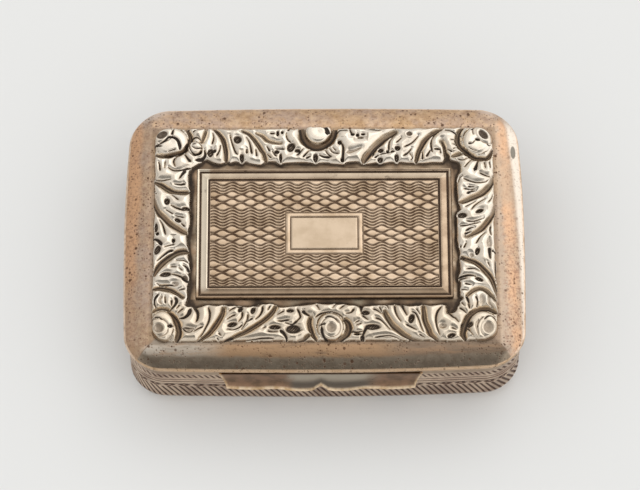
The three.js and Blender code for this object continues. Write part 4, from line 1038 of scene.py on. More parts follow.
        # painted shade: darker and browner close beside the channels and the leaves' edges
        crevice_shade = np.exp(-np.clip(near, 0, None) / 0.11) * (near > -0.05)
        raise_in(self.soot, ..., 0.3 * crevice_shade * (0.7 + 0.3 * ripple(self.x, self.y, 1.9, 0.9)))
        raise_in(self.warm, ..., 0.3 * crevice_shade)
        # rubbed bright on the ridges; in the hollows patina and painted shade
        fine, broad = smoothed(height, 3) - height, smoothed(height, 9) - height
        self.worn = unit(0.6 - fine / 0.05 - broad / 0.22)
        return height

    def rail(self, name, height, low, high):
        """One side of the border as a closed piece."""
        i0, i1 = np.searchsorted(self.xs, [low[0], high[0]])
        j0, j1 = np.searchsorted(self.ys, [low[1], high[1]])
        part = (slice(i0, i1 + 1), slice(j0, j1 + 1))
        x, y, z = self.x[part], self.y[part], ORNAMENT_BASE + height[part]
        across, along = x.shape
        number = np.arange(across * along).reshape(across, along)
        corners = [number[:-1, :-1], number[1:, :-1], number[1:, 1:], number[:-1, 1:]]
        top = np.stack(corners, -1).reshape(-1, 4)
        rim = np.concatenate([number[:-1, 0], number[-1, :-1], number[:0:-1, -1], number[0, :0:-1]])
        foot = np.arange(len(rim)) + number.size
        centre = number.size + len(rim)
        after, foot_after = np.roll(rim, -1), np.roll(foot, -1)
        skirt = np.stack([rim, foot, foot_after, after], -1)
        under = np.stack([foot, np.full(len(rim), centre), foot_after], -1)
        points = np.stack([x.ravel(), y.ravel(), z.ravel()], -1)
        below = points[rim].copy()
        below[:, 2] = BORDER_FOOT
        middle = [[x.mean(), y.mean(), BORDER_FOOT]]
        rest = len(rim) + 1
        fields = {"soot": (self.soot, 1.0), "warm": (self.warm, 1.0), "worn": (self.worn, 0.0)}
        marks = {mark: np.append(field[part].ravel(), np.full(rest, below_value))
                 for mark, (field, below_value) in fields.items()}
        made = mesh_of(name, np.vstack([points, below, middle]), top, skirt, under, marks=marks)
        crease(made, 75)
        return made


# Materials


def cast_silver(name):
    """Worn cast silver: rubbed bright on its ridges, brown in its hollows and black in the cuts, both partly
    painted shade.
    """
    f = Finish(name)
    soot, warm, worn = f.attribute("soot"), f.attribute("warm"), f.attribute("worn")
    _, y, _ = f.split(f.place)
    cloud = f.noise(900.0)
    fine = f.noise(9000.0, 3.0)
    front = y.fall(-0.0082, -0.0074)
    bright = f.mixed(cloud.step(0.35, 0.75), f.tones.bright, (0.70, 0.60, 0.48))
    bright = f.mixed(front * 0.55, bright, (0.60, 0.49, 0.36))
    # hollows darkened to brown-grey: patina and painted shade
    hollow = (worn + 0.25 * (cloud - 0.5)).fall(0.2, 0.62)
    bright = f.mixed(hollow * 0.6, bright, (0.38, 0.30, 0.22))
    streak = f.noise(2600.0, 3.0, 0.7)
    tan = f.mixed(streak.step(0.35, 0.68), f.tones.tan, (0.42, 0.325, 0.23))
    patch = f.noise(430.0, 3.0, 0.6)
    tan = f.mixed(patch.step(0.5, 0.62) * 0.45, tan, (0.34, 0.2, 0.115))
    tan = f.mixed(patch.fall(0.36, 0.46) * 0.6, tan, (0.27, 0.245, 0.18))
    colour = f.mixed(warm.step(0.3, 1.0), bright, tan)
    dark = (soot * (0.5 + 0.9 * streak)).step(0.08, 0.85)
    colour = f.mixed(dark, colour, f.mixed(soot.step(0.6, 0.95), (0.11, 0.07, 0.042), f.tones.oxide))
    roughness = 0.17 + 0.12 * cloud + 0.12 * hollow + 0.3 * dark
    return f.finish(colour, roughness, 1.0 - 0.15 * dark, height=fine, relief=0.00002, strength=0.25)


def spot(x, y, middle_x, middle_y, radius_x, radius_y):
    """Grows from 0 in the middle of an oval to 1 on its outline."""
    across = ((x - middle_x) / radius_x).size().maths("POWER", 2.0)
    return across + ((y - middle_y) / radius_y).size().maths("POWER", 2.0)


def gilding(f, cloud):
    """Gilding that is thin in places."""
    return f.mixed(cloud.step(0.4, 0.72), f.tones.gilt, (0.74, 0.55, 0.3))


def margin_tarnish(f, patches, cloud):
    """Warm tan tarnish, mottled."""
    colour = f.mixed(patches.step(0.36, 0.62), f.tones.margin, (0.45, 0.32, 0.24))
    colour = f.mixed(cloud.step(0.42, 0.7) * 0.7, colour, (0.60, 0.40, 0.24))
    mottle = f.noise(1900.0, 3.0, 0.6)
    colour = f.mixed(mottle.step(0.5, 0.68) * 0.5, colour, (0.66, 0.48, 0.31))
    return f.mixed(mottle.fall(0.34, 0.48) * 0.55, colour, (0.31, 0.19, 0.11))


def margin_ends(f, colour, x, y, patches, cloud, away):
    """Browner and gritty at both ends of the lid, pale at the back corners, with a painted highlight on the
    right lip.
    """
    pale = away.fall(0.6, 1.9) * (x.size() + y).step(29.0, 31.5) * 0.6
    colour = f.mixed(pale, colour, (0.84, 0.72, 0.63))
    left = (x - 0.02 * y + 1.2 * (patches - 0.5)).fall(-19.0, -18.2) * y.step(-9.0, -2.0, 0.3, 1.0)
    colour = f.mixed(x.step(-17.6, -17.0, 0.4, 0.0), colour, (0.42, 0.33, 0.26))
    right = (x + 0.04 * y - 18.5 + 1.4 * (cloud - 0.5)).size().fall(0.1, 0.9)
    right = right * patches.step(0.36, 0.56, 0.35, 1.0)
    colour = f.mixed(x.step(16.9, 17.6) * 0.74, colour, (0.42, 0.335, 0.26))
    colour = f.mixed((left * 1.25).most(right) * 0.6, colour, (0.70, 0.40, 0.22))
    grit = (x.step(17.4, 18.0) * y.step(-3.0, 6.0, 1.0, 0.4)).most(x.step(-17.6, -17.0, 0.8, 0.0))
    grit = grit * f.noise(3300.0, 3.0, 0.75).step(0.46, 0.62)
    colour = f.mixed(grit * 0.55, colour, (0.27, 0.145, 0.1))
    # painted highlight: a pale stripe along the right lip
    lip = (away - 0.035 * y).fall(0.4, 0.85) * x.step(17.8, 18.8)
    colour = f.mixed(lip * 0.8, colour, (0.84, 0.75, 0.64))
    # a dark smudge painted on the right of the margin
    dark_smudge = spot(x, y, 19.05, 9.4, 0.26, 0.75).fall(0.7, 1.2)
    return f.mixed(dark_smudge * 0.85, colour, (0.14, 0.13, 0.105))


def front_margin(f, x, patches, cloud, away):
    """Dark brown with drawn streak marks, greyer at the left end and along the leaves; by the lip a darker
    band painted as a reflection of the dark room in front.
    """
    sway = x + 3.0 * (patches - 0.5)
    low = f.mixed(sway.step(4.0, 9.0), (0.37, 0.235, 0.135), (0.25, 0.18, 0.125))
    low = f.mixed(sway.step(-13.5, -8.5), (0.45, 0.385, 0.31), low)
    drawn = f.noise(1500.0, 4.0, 0.7, f.vector("MULTIPLY", f.place, (0.16, 1.0, 1.0)))
    low = f.mixed(drawn.step(0.44, 0.66) * 0.6, low, (0.40, 0.25, 0.15))
    low = f.mixed(drawn.fall(0.34, 0.46) * 0.5, low, (0.17, 0.115, 0.08))
    # painted reflection: the darker band by the lip, where the margin faces the dark room in front
    edge = away + 0.35 * (f.noise(350.0, 2.0) - 0.5)
    band = f.mixed(cloud.step(0.35, 0.65), (0.31, 0.25, 0.185), (0.23, 0.18, 0.13))
    return f.mixed(edge.fall(1.1, 1.5), low, band)


def margin_silver(name):
    """Silver with warm tan tarnish, mottled and peppered with dark pits; painted light on it: a dark
    reflection on the front, shade beside the border and a highlight on the right lip.
    """
    f = Finish(name)
    x, y = f.across()
    patches = f.noise(260.0, 5.0, 0.6)
    cloud = f.noise(1300.0, 4.0, 0.65)
    grain = f.noise(14000.0, 2.0)
    away = f.attribute("away") + 0.3 * (cloud - 0.5)
    colour = margin_ends(f, margin_tarnish(f, patches, cloud), x, y, patches, cloud, away)
    mitre = -y - BORDER_HALF_Y - (x.size() - BORDER_HALF_X) * 1.1
    colour = f.mixed(mitre.step(-0.1, 0.15), colour, front_margin(f, x, patches, cloud, away))
    rubbed = (spot(x, y, -17.0, -12.6, 1.1, 0.6) + 1.6 * (cloud - 0.5)).fall(0.4, 1.1)
    colour = f.mixed(rubbed * 0.35, colour, (0.60, 0.54, 0.46))
    joint = mitre.size().fall(0.03, 0.12) * away.step(0.9, 1.4) * f.noise(600.0).step(0.3, 0.6)
    colour = f.mixed(joint * 0.5 * (-y).step(11.9, 12.1), colour, (0.12, 0.07, 0.045))
    # painted shade beside the raised border, over a dark joint
    seam_and_shade = (x.size() - BORDER_HALF_X).most(y.size() - BORDER_HALF_Y).fall(0.02, 0.3)
    colour = f.mixed(seam_and_shade * (0.25 + 0.6 * patches), colour, (0.2, 0.15, 0.11))
    where = f.noise(420.0, 3.0, 0.6)
    pepper = f.pits(1500.0, 0.45, 0.34).most(f.pits(2600.0, 0.4, 0.38)).most(f.pits(4600.0, 0.6, 0.45) * 0.8)
    pepper = pepper * where.step(0.36, 0.54, 0.2, 1.0) * (1.0 - 0.6 * x.step(17.5, 18.0) * y.step(-6.0, 2.0))
    freckles = f.noise(3000.0, 3.0, 0.7).step(0.56, 0.7) * 0.5
    colour = f.mixed(pepper.most(freckles * where.step(0.3, 0.6)) * 0.85, colour, (0.085, 0.038, 0.02))
    pepper = pepper * (1.0 - f.attribute("within"))
    colour = f.mixed(f.attribute("within"), colour, gilding(f, cloud))
    roughness = 0.27 + 0.12 * cloud + 0.2 * pepper
    return f.finish(colour, roughness, height=grain * 0.4 - pepper, relief=0.00004, strength=0.4)


def rim_silver(name):
    """The rim: paler and rubbed, with small dark specks."""
    f = Finish(name)
    cloud = f.noise(1100.0, 4.0, 0.6)
    _, y, _ = f.split(f.place)
    front = y.fall(-0.0142, -0.012)
    specks = (f.noise(2600.0, 3.0, 0.7) + 0.05 * front).step(0.6, 0.72)
    colour = f.mixed(cloud.step(0.35, 0.7), (0.80, 0.62, 0.47), (0.60, 0.42, 0.28))
    colour = f.mixed(front * 0.7, colour, (0.50, 0.34, 0.2))
    colour = f.mixed(specks * 0.75, colour, (0.12, 0.07, 0.04))
    return f.finish(colour, 0.28 + 0.15 * cloud, height=cloud - specks, relief=0.00004, strength=0.4)


def plain_silver(name):
    """Plain silver with soft scratches and a little tarnish."""
    f = Finish(name)
    cloud = f.noise(420.0, 5.0, 0.6)
    fine = f.noise(9000.0, 2.0)
    colour = f.mixed(cloud.step(0.35, 0.7), (0.66, 0.55, 0.44), (0.5, 0.38, 0.28))
    specks = f.pits(1500.0, 0.1, 0.14)
    colour = f.mixed(specks * 0.8, colour, (0.1, 0.06, 0.04))
    return f.finish(colour, 0.3 + 0.15 * cloud, height=fine, relief=0.00002, strength=0.2)


def gilt_silver(name):
    """Gilded silver, satin, thin at the edges."""
    f = Finish(name)
    cloud = f.noise(500.0, 5.0, 0.6)
    fine = f.noise(9000.0, 2.0)
    colour = f.mixed(f.pits(1500.0, 0.1, 0.12) * 0.6, gilding(f, cloud), (0.2, 0.12, 0.05))
    return f.finish(colour, 0.28 + 0.14 * cloud, height=fine, relief=0.00002, strength=0.2)


def pin_silver(name):
    """Drawn wire."""
    f = Finish(name)
    cloud = f.noise(1500.0, 3.0)
    return f.finish(f.mixed(cloud, (0.62, 0.56, 0.5), (0.42, 0.34, 0.27)), 0.32 + 0.1 * cloud)


def thumb_silver(name):
    """The thumbpiece: brown-violet tarnish and painted reflection, clearing to a grey painted reflection in
    the middle, with a painted shadow under the lip and a pale gold painted highlight on the edge.
    """
    f = Finish(name)
    x, _ = f.across()
    cloud = f.noise(700.0, 4.0, 0.6)
    low, worn = f.attribute("low"), f.attribute("edge")
    sway = x + 2.0 * (cloud - 0.5)
    # painted reflection: grey in the middle of the plate, pale at the top and dark at the foot
    grey = sway.step(-4.2, -2.8) * sway.fall(3.6, 5.6)
    pale = f.mixed(low.step(0.3, 0.8), (0.43, 0.375, 0.30), (0.135, 0.11, 0.088))
    brown = f.mixed(cloud.step(0.4, 0.65), (0.27, 0.165, 0.105), (0.17, 0.11, 0.07))
    colour = f.mixed(grey, brown, pale)
    # painted shadow: a dark line along the top, under the lip
    colour = f.mixed(low.fall(0.02, 0.1) * 0.8, colour, (0.1, 0.06, 0.035))
    # painted highlight: pale gold on the flared lower edge and the plate's ends
    gold = f.mixed(f.noise(1000.0, 4.0, 0.7).step(0.4, 0.66), (0.74, 0.58, 0.4), (0.50, 0.33, 0.18))
    colour = f.mixed(worn, colour, gold)
    specks = f.pits(1700.0, 0.14, 0.16)
    colour = f.mixed(specks * 0.8, colour, (0.06, 0.04, 0.03))
    return f.finish(colour, 0.3 + 0.14 * cloud, height=cloud, relief=0.00003, strength=0.3)


def panel_rows():
    """The turned lines of the panel, as pairs of the middle of a line and the side it swings to first."""
    rows = [(start - k * pitch, 1) for start, count, pitch in WAVE_BANDS for k in range(count)]
    rows += [(start - k * pitch, (-1, 1, -1)[k]) for start, pitch in OVAL_BANDS for k in range(3)]
    return sorted(rows, reverse=True)


def panel_cut(x, y, sizes):
    """Distance in millimetres from the nearest turned line, and from the outline of the reserve."""
    swing = (x + WAVE_START) * (2 * math.pi * MM / sizes.wave_length)
    wave = swing.cosine() * (sizes.wave_rise / MM)
    up, down = y - wave, y + wave
    nearest = None
    for middle, side in panel_rows():
        away = ((up if side > 0 else down) - middle).size()
        nearest = away if nearest is None else nearest.least(away)
    reserve = (x.size() - RESERVE_HALF_X).most(y.size() - RESERVE_HALF_Y)
    return nearest, reserve


def turned_panel(name):
    """Engine turning: dark wavy lines, with rows of pointed ovals between the bands, each oval with painted
    shade on its lower half.
    """
    f = Finish(name)
    x, y = f.across()
    nearest, reserve = panel_cut(x, y, f.sizes)
    cloud = f.noise(500.0, 4.0, 0.6)
    fine = f.noise(3000.0, 3.0, 0.6)
    half = 0.5 * f.sizes.line_width / MM
    weight = (x * (4 * math.pi * MM / f.sizes.wave_length) + 3.0).cosine() * 0.03
    weight = weight + 0.11 * (fine - 0.5) + 0.06 * (cloud - 0.5)
    swing = x * (2 * math.pi * MM / f.sizes.wave_length)
    first, second, third = ((y - (start - pitch)).size() for start, pitch in OVAL_BANDS)
    ovals = first.least(second).least(third).fall(0.6, 0.9)
    tips = ovals * (0.5 - 0.5 * (swing * 2.0).cosine())
    line = (nearest - weight - 0.018 * tips).fall(half * 0.35, half * 1.75) * reserve.step(0.02, 0.06)
    border = reserve.size().fall(0.03, 0.08)
    double = (reserve + RESERVE_STEP).size().fall(0.04, 0.09)
    line = line.most(border * 0.8).most(double * 0.85)
    light = f.mixed(cloud.step(0.35, 0.7), f.tones.panel, (0.52, 0.38, 0.25))
    stain = f.noise(190.0, 3.0, 0.6).step(0.45, 0.7)
    light = f.mixed(stain * reserve.step(0.0, 0.1) * 0.5, light, (0.34, 0.23, 0.14))
    # painted shade: the lower half of each pointed oval is darker
    rise = ((y - OVAL_MIDDLE) / OVAL_PITCH + swing.cosine().step(-0.05, 0.05) * 0.5 + 0.5).fraction() - 0.5
    under = rise.fall(-0.3, 0.12) * ovals * reserve.step(0.0, 0.1)
    light = f.mixed(under * 0.5, light, (0.28, 0.185, 0.11))
    light = f.mixed(reserve.fall(-0.6, -0.4) * 0.5, light, (0.50, 0.40, 0.29))
    colour = f.mixed(line * (0.8 + 0.3 * cloud).least(1.0), light, (0.10, 0.057, 0.033))
    specks = f.pits(1300.0, 0.12, 0.2)
    colour = f.mixed(specks, colour, (0.07, 0.04, 0.03))
    height = fine * 0.3 - line
    roughness = 0.32 + 0.1 * cloud + 0.15 * line
    return f.finish(colour, roughness, 1.0 - 0.1 * line, height=height, relief=0.00003, strength=0.5)


def moulding_silver(name):
    """The frame's moulding: tan silver with black grooves of oxide and painted shade, a painted highlight
    along its left side, a pale band at the back, and darker towards the front.
    """
    f = Finish(name)
    soot = f.attribute("soot")
    cloud = f.noise(600.0, 4.0, 0.6)
    patch = f.noise(230.0, 3.0)
    x, y, _ = f.split(f.place)
    front = y.fall(-0.0068, -0.0058)
    streak = f.noise(700.0, 4.0, 0.7)
    colour = f.mixed(cloud.step(0.35, 0.7), (0.52, 0.39, 0.27), (0.34, 0.24, 0.16))
    colour = f.mixed(front * 0.6, colour, (0.27, 0.185, 0.115))
    # painted highlight: a pale stripe along the inner left side of the frame
    colour = f.mixed(x.fall(-0.0117, -0.0113) * (1.0 - front) * 0.75, colour, (0.78, 0.69, 0.55))
    colour = f.mixed(y.step(0.0061, 0.0063) * y.step(0.0068, 0.0069, 0.5, 0.0), colour, (0.64, 0.54, 0.41))
    dark = (soot * (0.6 + 0.75 * patch) + streak.step(0.55, 0.72) * 0.35).step(0.15, 0.8)
    colour = f.mixed(dark, colour, (0.075, 0.046, 0.03))
    roughness = 0.27 + 0.12 * cloud + 0.2 * dark
    return f.finish(colour, roughness, 1.0 - 0.15 * dark, height=cloud, relief=0.00004, strength=0.3)


def wall_cut(along, height, around, sizes, on_lid):
    """How deep the turning on a wall is cut at a place, from 0 to 1. Along and height are in millimetres."""
    if on_lid:
        count = round(around / (sizes.lid_stroke_pitch / MM))
        stroke = ((along + 0.62 * height) * (count / around)).fraction()
        groove = (stroke - 0.5).size().fall(0.1, 0.36)
        strokes = groove * height.step(5.78, 5.9) * height.fall(LID_COVE - 0.12, LID_COVE)
        ridge = ((height - LID_LINES) * (2 * math.pi / LID_LINE_PITCH)).cosine().fall(-0.4, 0.4)
        lines = ridge * height.step(LID_LINES - 0.08, LID_LINES) * height.fall(5.68, 5.76)
        return strokes.most(lines * 0.85)
    count = round(around / (sizes.case_stroke_pitch / MM))
    stroke = ((along + 0.52 * height) * (count / around)).fraction()
    groove = (stroke - 0.5).size().fall(0.16, 0.3)
    strokes = groove * height.step(0.9, 1.3) * height.fall(3.86, 3.98)
    ovals = round(around / (sizes.lens_pitch / MM))
    swell = (along * (math.pi * ovals / around)).cosine().size()
    away = (height - CASE_OVALS).size()
    hollow = (swell * CASE_OVAL_RISE - away).step(0.01, 0.07)
    bead = swell.step(0.93, 0.99) * away.fall(0.04, 0.1)
    return strokes.most(hollow - bead * 0.7)


def turned_wall(name, on_lid, around):
    """A wall with its turned bands, read from the piece's own measure along and up."""
    f = Finish(name)
    within = f.attribute("within")
    cut = wall_cut(f.attribute("along"), f.attribute("height"), around, f.sizes, on_lid)
    cut = cut * within.fall(0.0, 0.2)
    cloud = f.noise(450.0, 5.0, 0.6)
    fine = f.noise(6000.0, 3.0)
    light = f.mixed(cloud.step(0.35, 0.68), f.tones.wall, (0.40, 0.29, 0.22))
    if on_lid:
        # painted shade: the plain band under the lip is darker and browner
        cove_shade = f.attribute("height").step(LID_COVE, 6.8)
        light = f.mixed(cove_shade * 0.6, light, (0.28, 0.2, 0.13))
    light = f.mixed(within.step(0.2, 0.8), light, f.tones.gilt)
    colour = f.mixed((cut * (0.8 + 0.35 * cloud)).least(1.0), light, (0.10, 0.056, 0.04))
    roughness = 0.28 + 0.12 * cloud + 0.15 * cut
    height = fine * 0.2 - cut
    return f.finish(colour, roughness, 1.0 - 0.2 * cut, height=height, relief=0.00004, strength=0.5)


def dry_sponge(name):
    """Dry natural sponge: open pores and a fine fibrous skin."""
    f = Finish(name)
    pores = f.noise(1700.0, 4.0, 0.7)
    fibre = f.noise(7000.0, 3.0, 0.7)
    colour = f.mixed(pores.step(0.4, 0.62), (0.16, 0.085, 0.03), f.tones.sponge)
    colour = f.mixed(fibre.step(0.4, 0.7) * 0.4, colour, (0.72, 0.5, 0.25))
    return f.finish(colour, 0.95, 0.0, height=pores + 0.4 * fibre, relief=0.0003, strength=0.8)


# Geometry Nodes trees


def new_tree(name, *labels):
    """A Geometry Nodes tree with named inputs. Returns its graph and a wire for each input."""
    tree = bpy.data.node_groups.new(name, "GeometryNodeTree")
    tree.interface.new_socket("Geometry", in_out="OUTPUT", socket_type="NodeSocketGeometry")
    tree.interface.new_socket("Geometry", in_out="INPUT", socket_type="NodeSocketGeometry")
    for label in labels:
        kind = "NodeSocketInt" if label == "Count" else "NodeSocketFloat"
        tree.interface.new_socket(label, in_out="INPUT", socket_type=kind)
    graph = Graph(tree)
    first = graph.node("NodeGroupInput")
    return graph, {socket.name: Wire(graph, socket) for socket in first.socket.node.outputs if socket.name}


def sunk(graph, geometry, depth):
    """Moves a surface inwards along its normals."""
    normal = graph.node("GeometryNodeInputNormal")
    moved = graph.node("ShaderNodeVectorMath", {0: normal, "Scale": -depth}, operation="SCALE")
    return graph.node("GeometryNodeSetPosition", {"Geometry": geometry, "Offset": moved})


def apply_tree(source, graph, geometry, finish, values):
    """Ends a tree, runs it on an object and returns the result as a plain mesh object."""
    name = source.name
    solid = graph.node("GeometryNodeRealizeInstances", {0: geometry})
    done = graph.node("GeometryNodeSetMaterial", {"Geometry": solid, "Material": finish})
    graph.node("NodeGroupOutput", {0: done})
    modifier = source.modifiers.new(name, "NODES")
    modifier.node_group = graph.tree
    for item in graph.tree.interface.items_tree:
        if item.in_out == "INPUT" and item.name in values:
            modifier[item.identifier] = values[item.name]
    depsgraph = bpy.context.evaluated_depsgraph_get()
    mesh = bpy.data.meshes.new_from_object(source.evaluated_get(depsgraph), depsgraph=depsgraph)
    bpy.data.objects.remove(source)
    mesh.name = name
    return placed(name, mesh)


def holder(name):
    """An object with one point for a tree that makes its own geometry."""
    mesh = bpy.data.meshes.new(name)
    mesh.from_pydata([(0, 0, 0)], [], [])
    return placed(name, mesh)


def outward(made):
    """Turns a closed mesh the right way out."""
    mesh = made.data
    points = np.zeros(len(mesh.vertices) * 3)
    mesh.vertices.foreach_get("co", points)
    points = points.reshape(-1, 3)
    mesh.calc_loop_triangles()
    corners = np.zeros(len(mesh.loop_triangles) * 3, np.int32)
    mesh.loop_triangles.foreach_get("vertices", corners)
    if signed_volume(points, [corners.reshape(-1, 3)]) < 0:
        mesh.flip_normals()
    return made


# Pieces


def margin_height(distance):
    """Height of the margin's surface at a distance in from the rim."""
    share = (MARGIN_WIDTH - distance) / (MARGIN_WIDTH - MARGIN_START)
    return PLATFORM - (PLATFORM - LIP_TOP - MARGIN_STEP) * share**2


def even_ring(distance, spacing):
    """Evenly spaced points on the box's outline, their outward directions and places along it."""
    fine = inset(distance, 0.0, CORNER_RADIUS - distance, corner_steps=60, side_steps=160)
    closed = np.vstack([fine, fine[:1]])[:, :2]
    closed = closed[np.append(np.hypot(*np.diff(closed, axis=0).T) > 1e-6, True)]
    places = np.concatenate([[0], np.cumsum(np.hypot(*np.diff(closed, axis=0).T))])
    around = places[-1]
    along = np.arange(round(around / spacing)) * (around / round(around / spacing))
    points = np.stack([np.interp(along, places, closed[:, k]) for k in (0, 1)], -1)
    tangent = np.roll(points, -1, 0) - np.roll(points, 1, 0)
    tangent /= np.hypot(*tangent.T)[:, None]
    return points, np.stack([tangent[:, 1], -tangent[:, 0]], -1), along, around


def wall_piece(name, low, high, on_lid):
    """A wall as a closed ring, cut away for the hinge at the back, with its turned bands pressed in."""
    sizes = bpy.context.scene.vinaigrette_turning
    points, outwards, along, around = even_ring(WALL_INSET, WALL_SPACING)
    behind = (points[:, 1] > 0) & (np.abs(points[:, 0]) < NOTCH_REACH)
    bottom = np.where(behind & on_lid, NOTCH_HIGH, low)
    top = np.where(behind & (not on_lid), NOTCH_LOW, high)
    rows = np.linspace(0, 1, LID_WALL_ROWS if on_lid else CASE_WALL_ROWS)
    inner = points - outwards * SHEET
    loops = [np.column_stack([points, bottom + (top - bottom) * t]) for t in rows]
    loops += [np.column_stack([inner, top]), np.column_stack([inner, bottom])]
    count = len(loops)
    made = skin(name, loops, True, marks={"within": [0.0] * len(rows) + [1.0, 1.0]})
    levels = np.array(loops)[:, :, 2].ravel()
    outside = np.repeat(np.arange(count) < len(rows), len(along))
    room = np.minimum(levels - np.tile(bottom, count), np.tile(top, count) - levels)
    keep_mark(made.data, "along", np.tile(along, count))
    keep_mark(made.data, "height", levels)
    keep_mark(made.data, "outer", outside & (room > 0.02))

    graph, wires = new_tree(name + "_turning", "Depth")
    read = {mark: graph.node("GeometryNodeInputNamedAttribute", {"Name": mark}, data_type="FLOAT")
            for mark in ("along", "height", "outer")}
    cut = wall_cut(read["along"], read["height"], around, sizes, on_lid) * read["outer"]
    turned = sunk(graph, wires["Geometry"], cut * wires["Depth"])
    finish = turned_wall(name + "_silver", on_lid, around)
    made = apply_tree(made, graph, turned, finish, {"Depth": sizes.wall_depth})
    crease(made, 60)
    return made


def turned_sheet():
    """The panel as a thin sheet with its lines cut into it."""
    sizes = bpy.context.scene.vinaigrette_turning
    graph, wires = new_tree("panel_turning", "Length", "Width", "Height", "Thickness", "Depth")
    grid = graph.node("GeometryNodeMeshGrid", {
        "Size X": wires["Length"], "Size Y": wires["Width"],
        "Vertices X": PANEL_COLUMNS, "Vertices Y": PANEL_ROWS})
    place = graph.node("GeometryNodeInputPosition")
    x, y, _ = graph.split(place)
    x, y = x / MM, y / MM
    nearest, reserve = panel_cut(x, y, sizes)
    half = 0.5 * sizes.line_width / MM
    line = nearest.fall(half * 0.2, half * 1.9) * reserve.step(0.02, 0.08)
    border = reserve.size().fall(0.03, 0.1)
    double = (reserve + RESERVE_STEP).size().fall(0.04, 0.11)
    inside = reserve.fall(-0.1, 0.0) * 0.5
    drop = line.most(border).most(double) - inside
    down = graph.node("ShaderNodeCombineXYZ", {"Z": wires["Height"] - drop * wires["Depth"]})
    cut = graph.node("GeometryNodeSetPosition", {"Geometry": grid, "Offset": down})
    thick = graph.node("ShaderNodeCombineXYZ", {"Z": -wires["Thickness"]})
    pressed = {"Mesh": cut, "Offset": thick, "Offset Scale": 1.0, "Individual": False}
    solid = graph.node("GeometryNodeExtrudeMesh", pressed, mode="FACES")
    turned = graph.node("GeometryNodeFlipFaces", {"Mesh": cut})
    whole = graph.node("GeometryNodeJoinGeometry", {0: solid})
    graph.tree.links.new(turned.socket, whole.socket.node.inputs[0])
    merged = graph.node("GeometryNodeMergeByDistance", {"Geometry": whole, "Distance": 1e-6})
    smooth = graph.node("GeometryNodeSetShadeSmooth", {"Geometry": merged, "Shade Smooth": True})
    values = {
        "Length": 2 * PANEL_HALF_X * MM, "Width": 2 * PANEL_HALF_Y * MM,
        "Height": (ORNAMENT_BASE + PANEL_RISE) * MM, "Thickness": PANEL_SHEET * MM,
        "Depth": sizes.line_depth}
    panel = outward(apply_tree(holder("turned_panel"), graph, smooth, shared(turned_panel), values))
    crease(panel, 60)
    return panel


def moulding_piece():
    """The moulding that frames the panel."""
    loops, soot = [], []
    for distance, rise, dark in MOULDING_SECTION:
        half_x, half_y = FRAME_HALF_X - distance, FRAME_HALF_Y - distance
        radius = max(MOULDING_CORNER - distance, 0.03)
        loops.append(loop_of(half_x, half_y, radius, 0.0, ORNAMENT_BASE + rise, 3, 90))
        soot.append(dark)
    moulding = skin("panel_moulding", loops, True, marks={"soot": soot})
    crease(moulding, 55)
    return moulding


def knuckle_piece(name, radius, bore, length, pitch, count, y, z, finish):
    """A row of like knuckles along X, each a short tube with eased ends."""
    graph, wires = new_tree(name + "_row", "Radius", "Bore", "Length", "Pitch", "Count")
    wall = wires["Radius"] - wires["Bore"]
    middle = (wires["Radius"] + wires["Bore"]) * 0.5
    path = graph.node("GeometryNodeCurvePrimitiveCircle", {"Resolution": 40, "Radius": middle})
    block = graph.node("GeometryNodeCurvePrimitiveQuadrilateral", {"Width": wall, "Height": wires["Length"]})
    eased = graph.node("GeometryNodeFilletCurve", {"Curve": block, "Radius": wall * 0.25})
    profile = graph.node("GeometryNodeResampleCurve", {"Curve": eased, "Count": 24})
    tube = graph.node("GeometryNodeCurveToMesh", {"Curve": path, "Profile Curve": profile})
    turned = graph.node("GeometryNodeTransform", {"Geometry": tube, "Rotation": (0.0, math.pi / 2, 0.0)})
    first = wires["Pitch"] * (wires["Count"] - 1) * -0.5
    start = graph.node("ShaderNodeCombineXYZ", {"X": first, "Y": y * MM, "Z": z * MM})
    step = graph.node("ShaderNodeCombineXYZ", {"X": wires["Pitch"]})
    line = {"Count": wires["Count"], "Start Location": start, "Offset": step}
    row = graph.node("GeometryNodeMeshLine", line, mode="OFFSET")
    knuckles = graph.node("GeometryNodeInstanceOnPoints", {"Points": row, "Instance": turned})
    smooth = graph.node("GeometryNodeSetShadeSmooth", {"Geometry": knuckles, "Shade Smooth": True})
    values = {"Radius": radius, "Bore": bore, "Length": length, "Pitch": pitch, "Count": count}
    made = outward(apply_tree(holder(name), graph, smooth, finish, values))
    crease(made, 50)
    return made


def place_camera(scene):
    """Looks down on the front from above."""
    angle, roll = math.radians(CAMERA_HEIGHT_ANGLE), math.radians(CAMERA_ROLL)
    back = Vector((0.0, -math.cos(angle), math.sin(angle)))
    right = Vector((1.0, 0.0, 0.0))
    up = back.cross(right)
    across = right * math.cos(roll) + up * math.sin(roll)
    above = up * math.cos(roll) - right * math.sin(roll)
    stand = Vector(CAMERA_TARGET) + back * CAMERA_DISTANCE
    stand = stand - across * CAMERA_SHIFT[0] - above * CAMERA_SHIFT[1]
    data = bpy.data.cameras.new("camera")
    data.lens = CAMERA_LENS
    data.sensor_width = CAMERA_WIDTH
    data.sensor_fit = "HORIZONTAL"
    data.clip_start = 0.01
    camera = placed("camera", data)
    turn = Matrix((across, above, back)).transposed().to_4x4()
    camera.matrix_world = Matrix.Translation(stand * MM) @ turn
    scene.camera = camera


# Operators


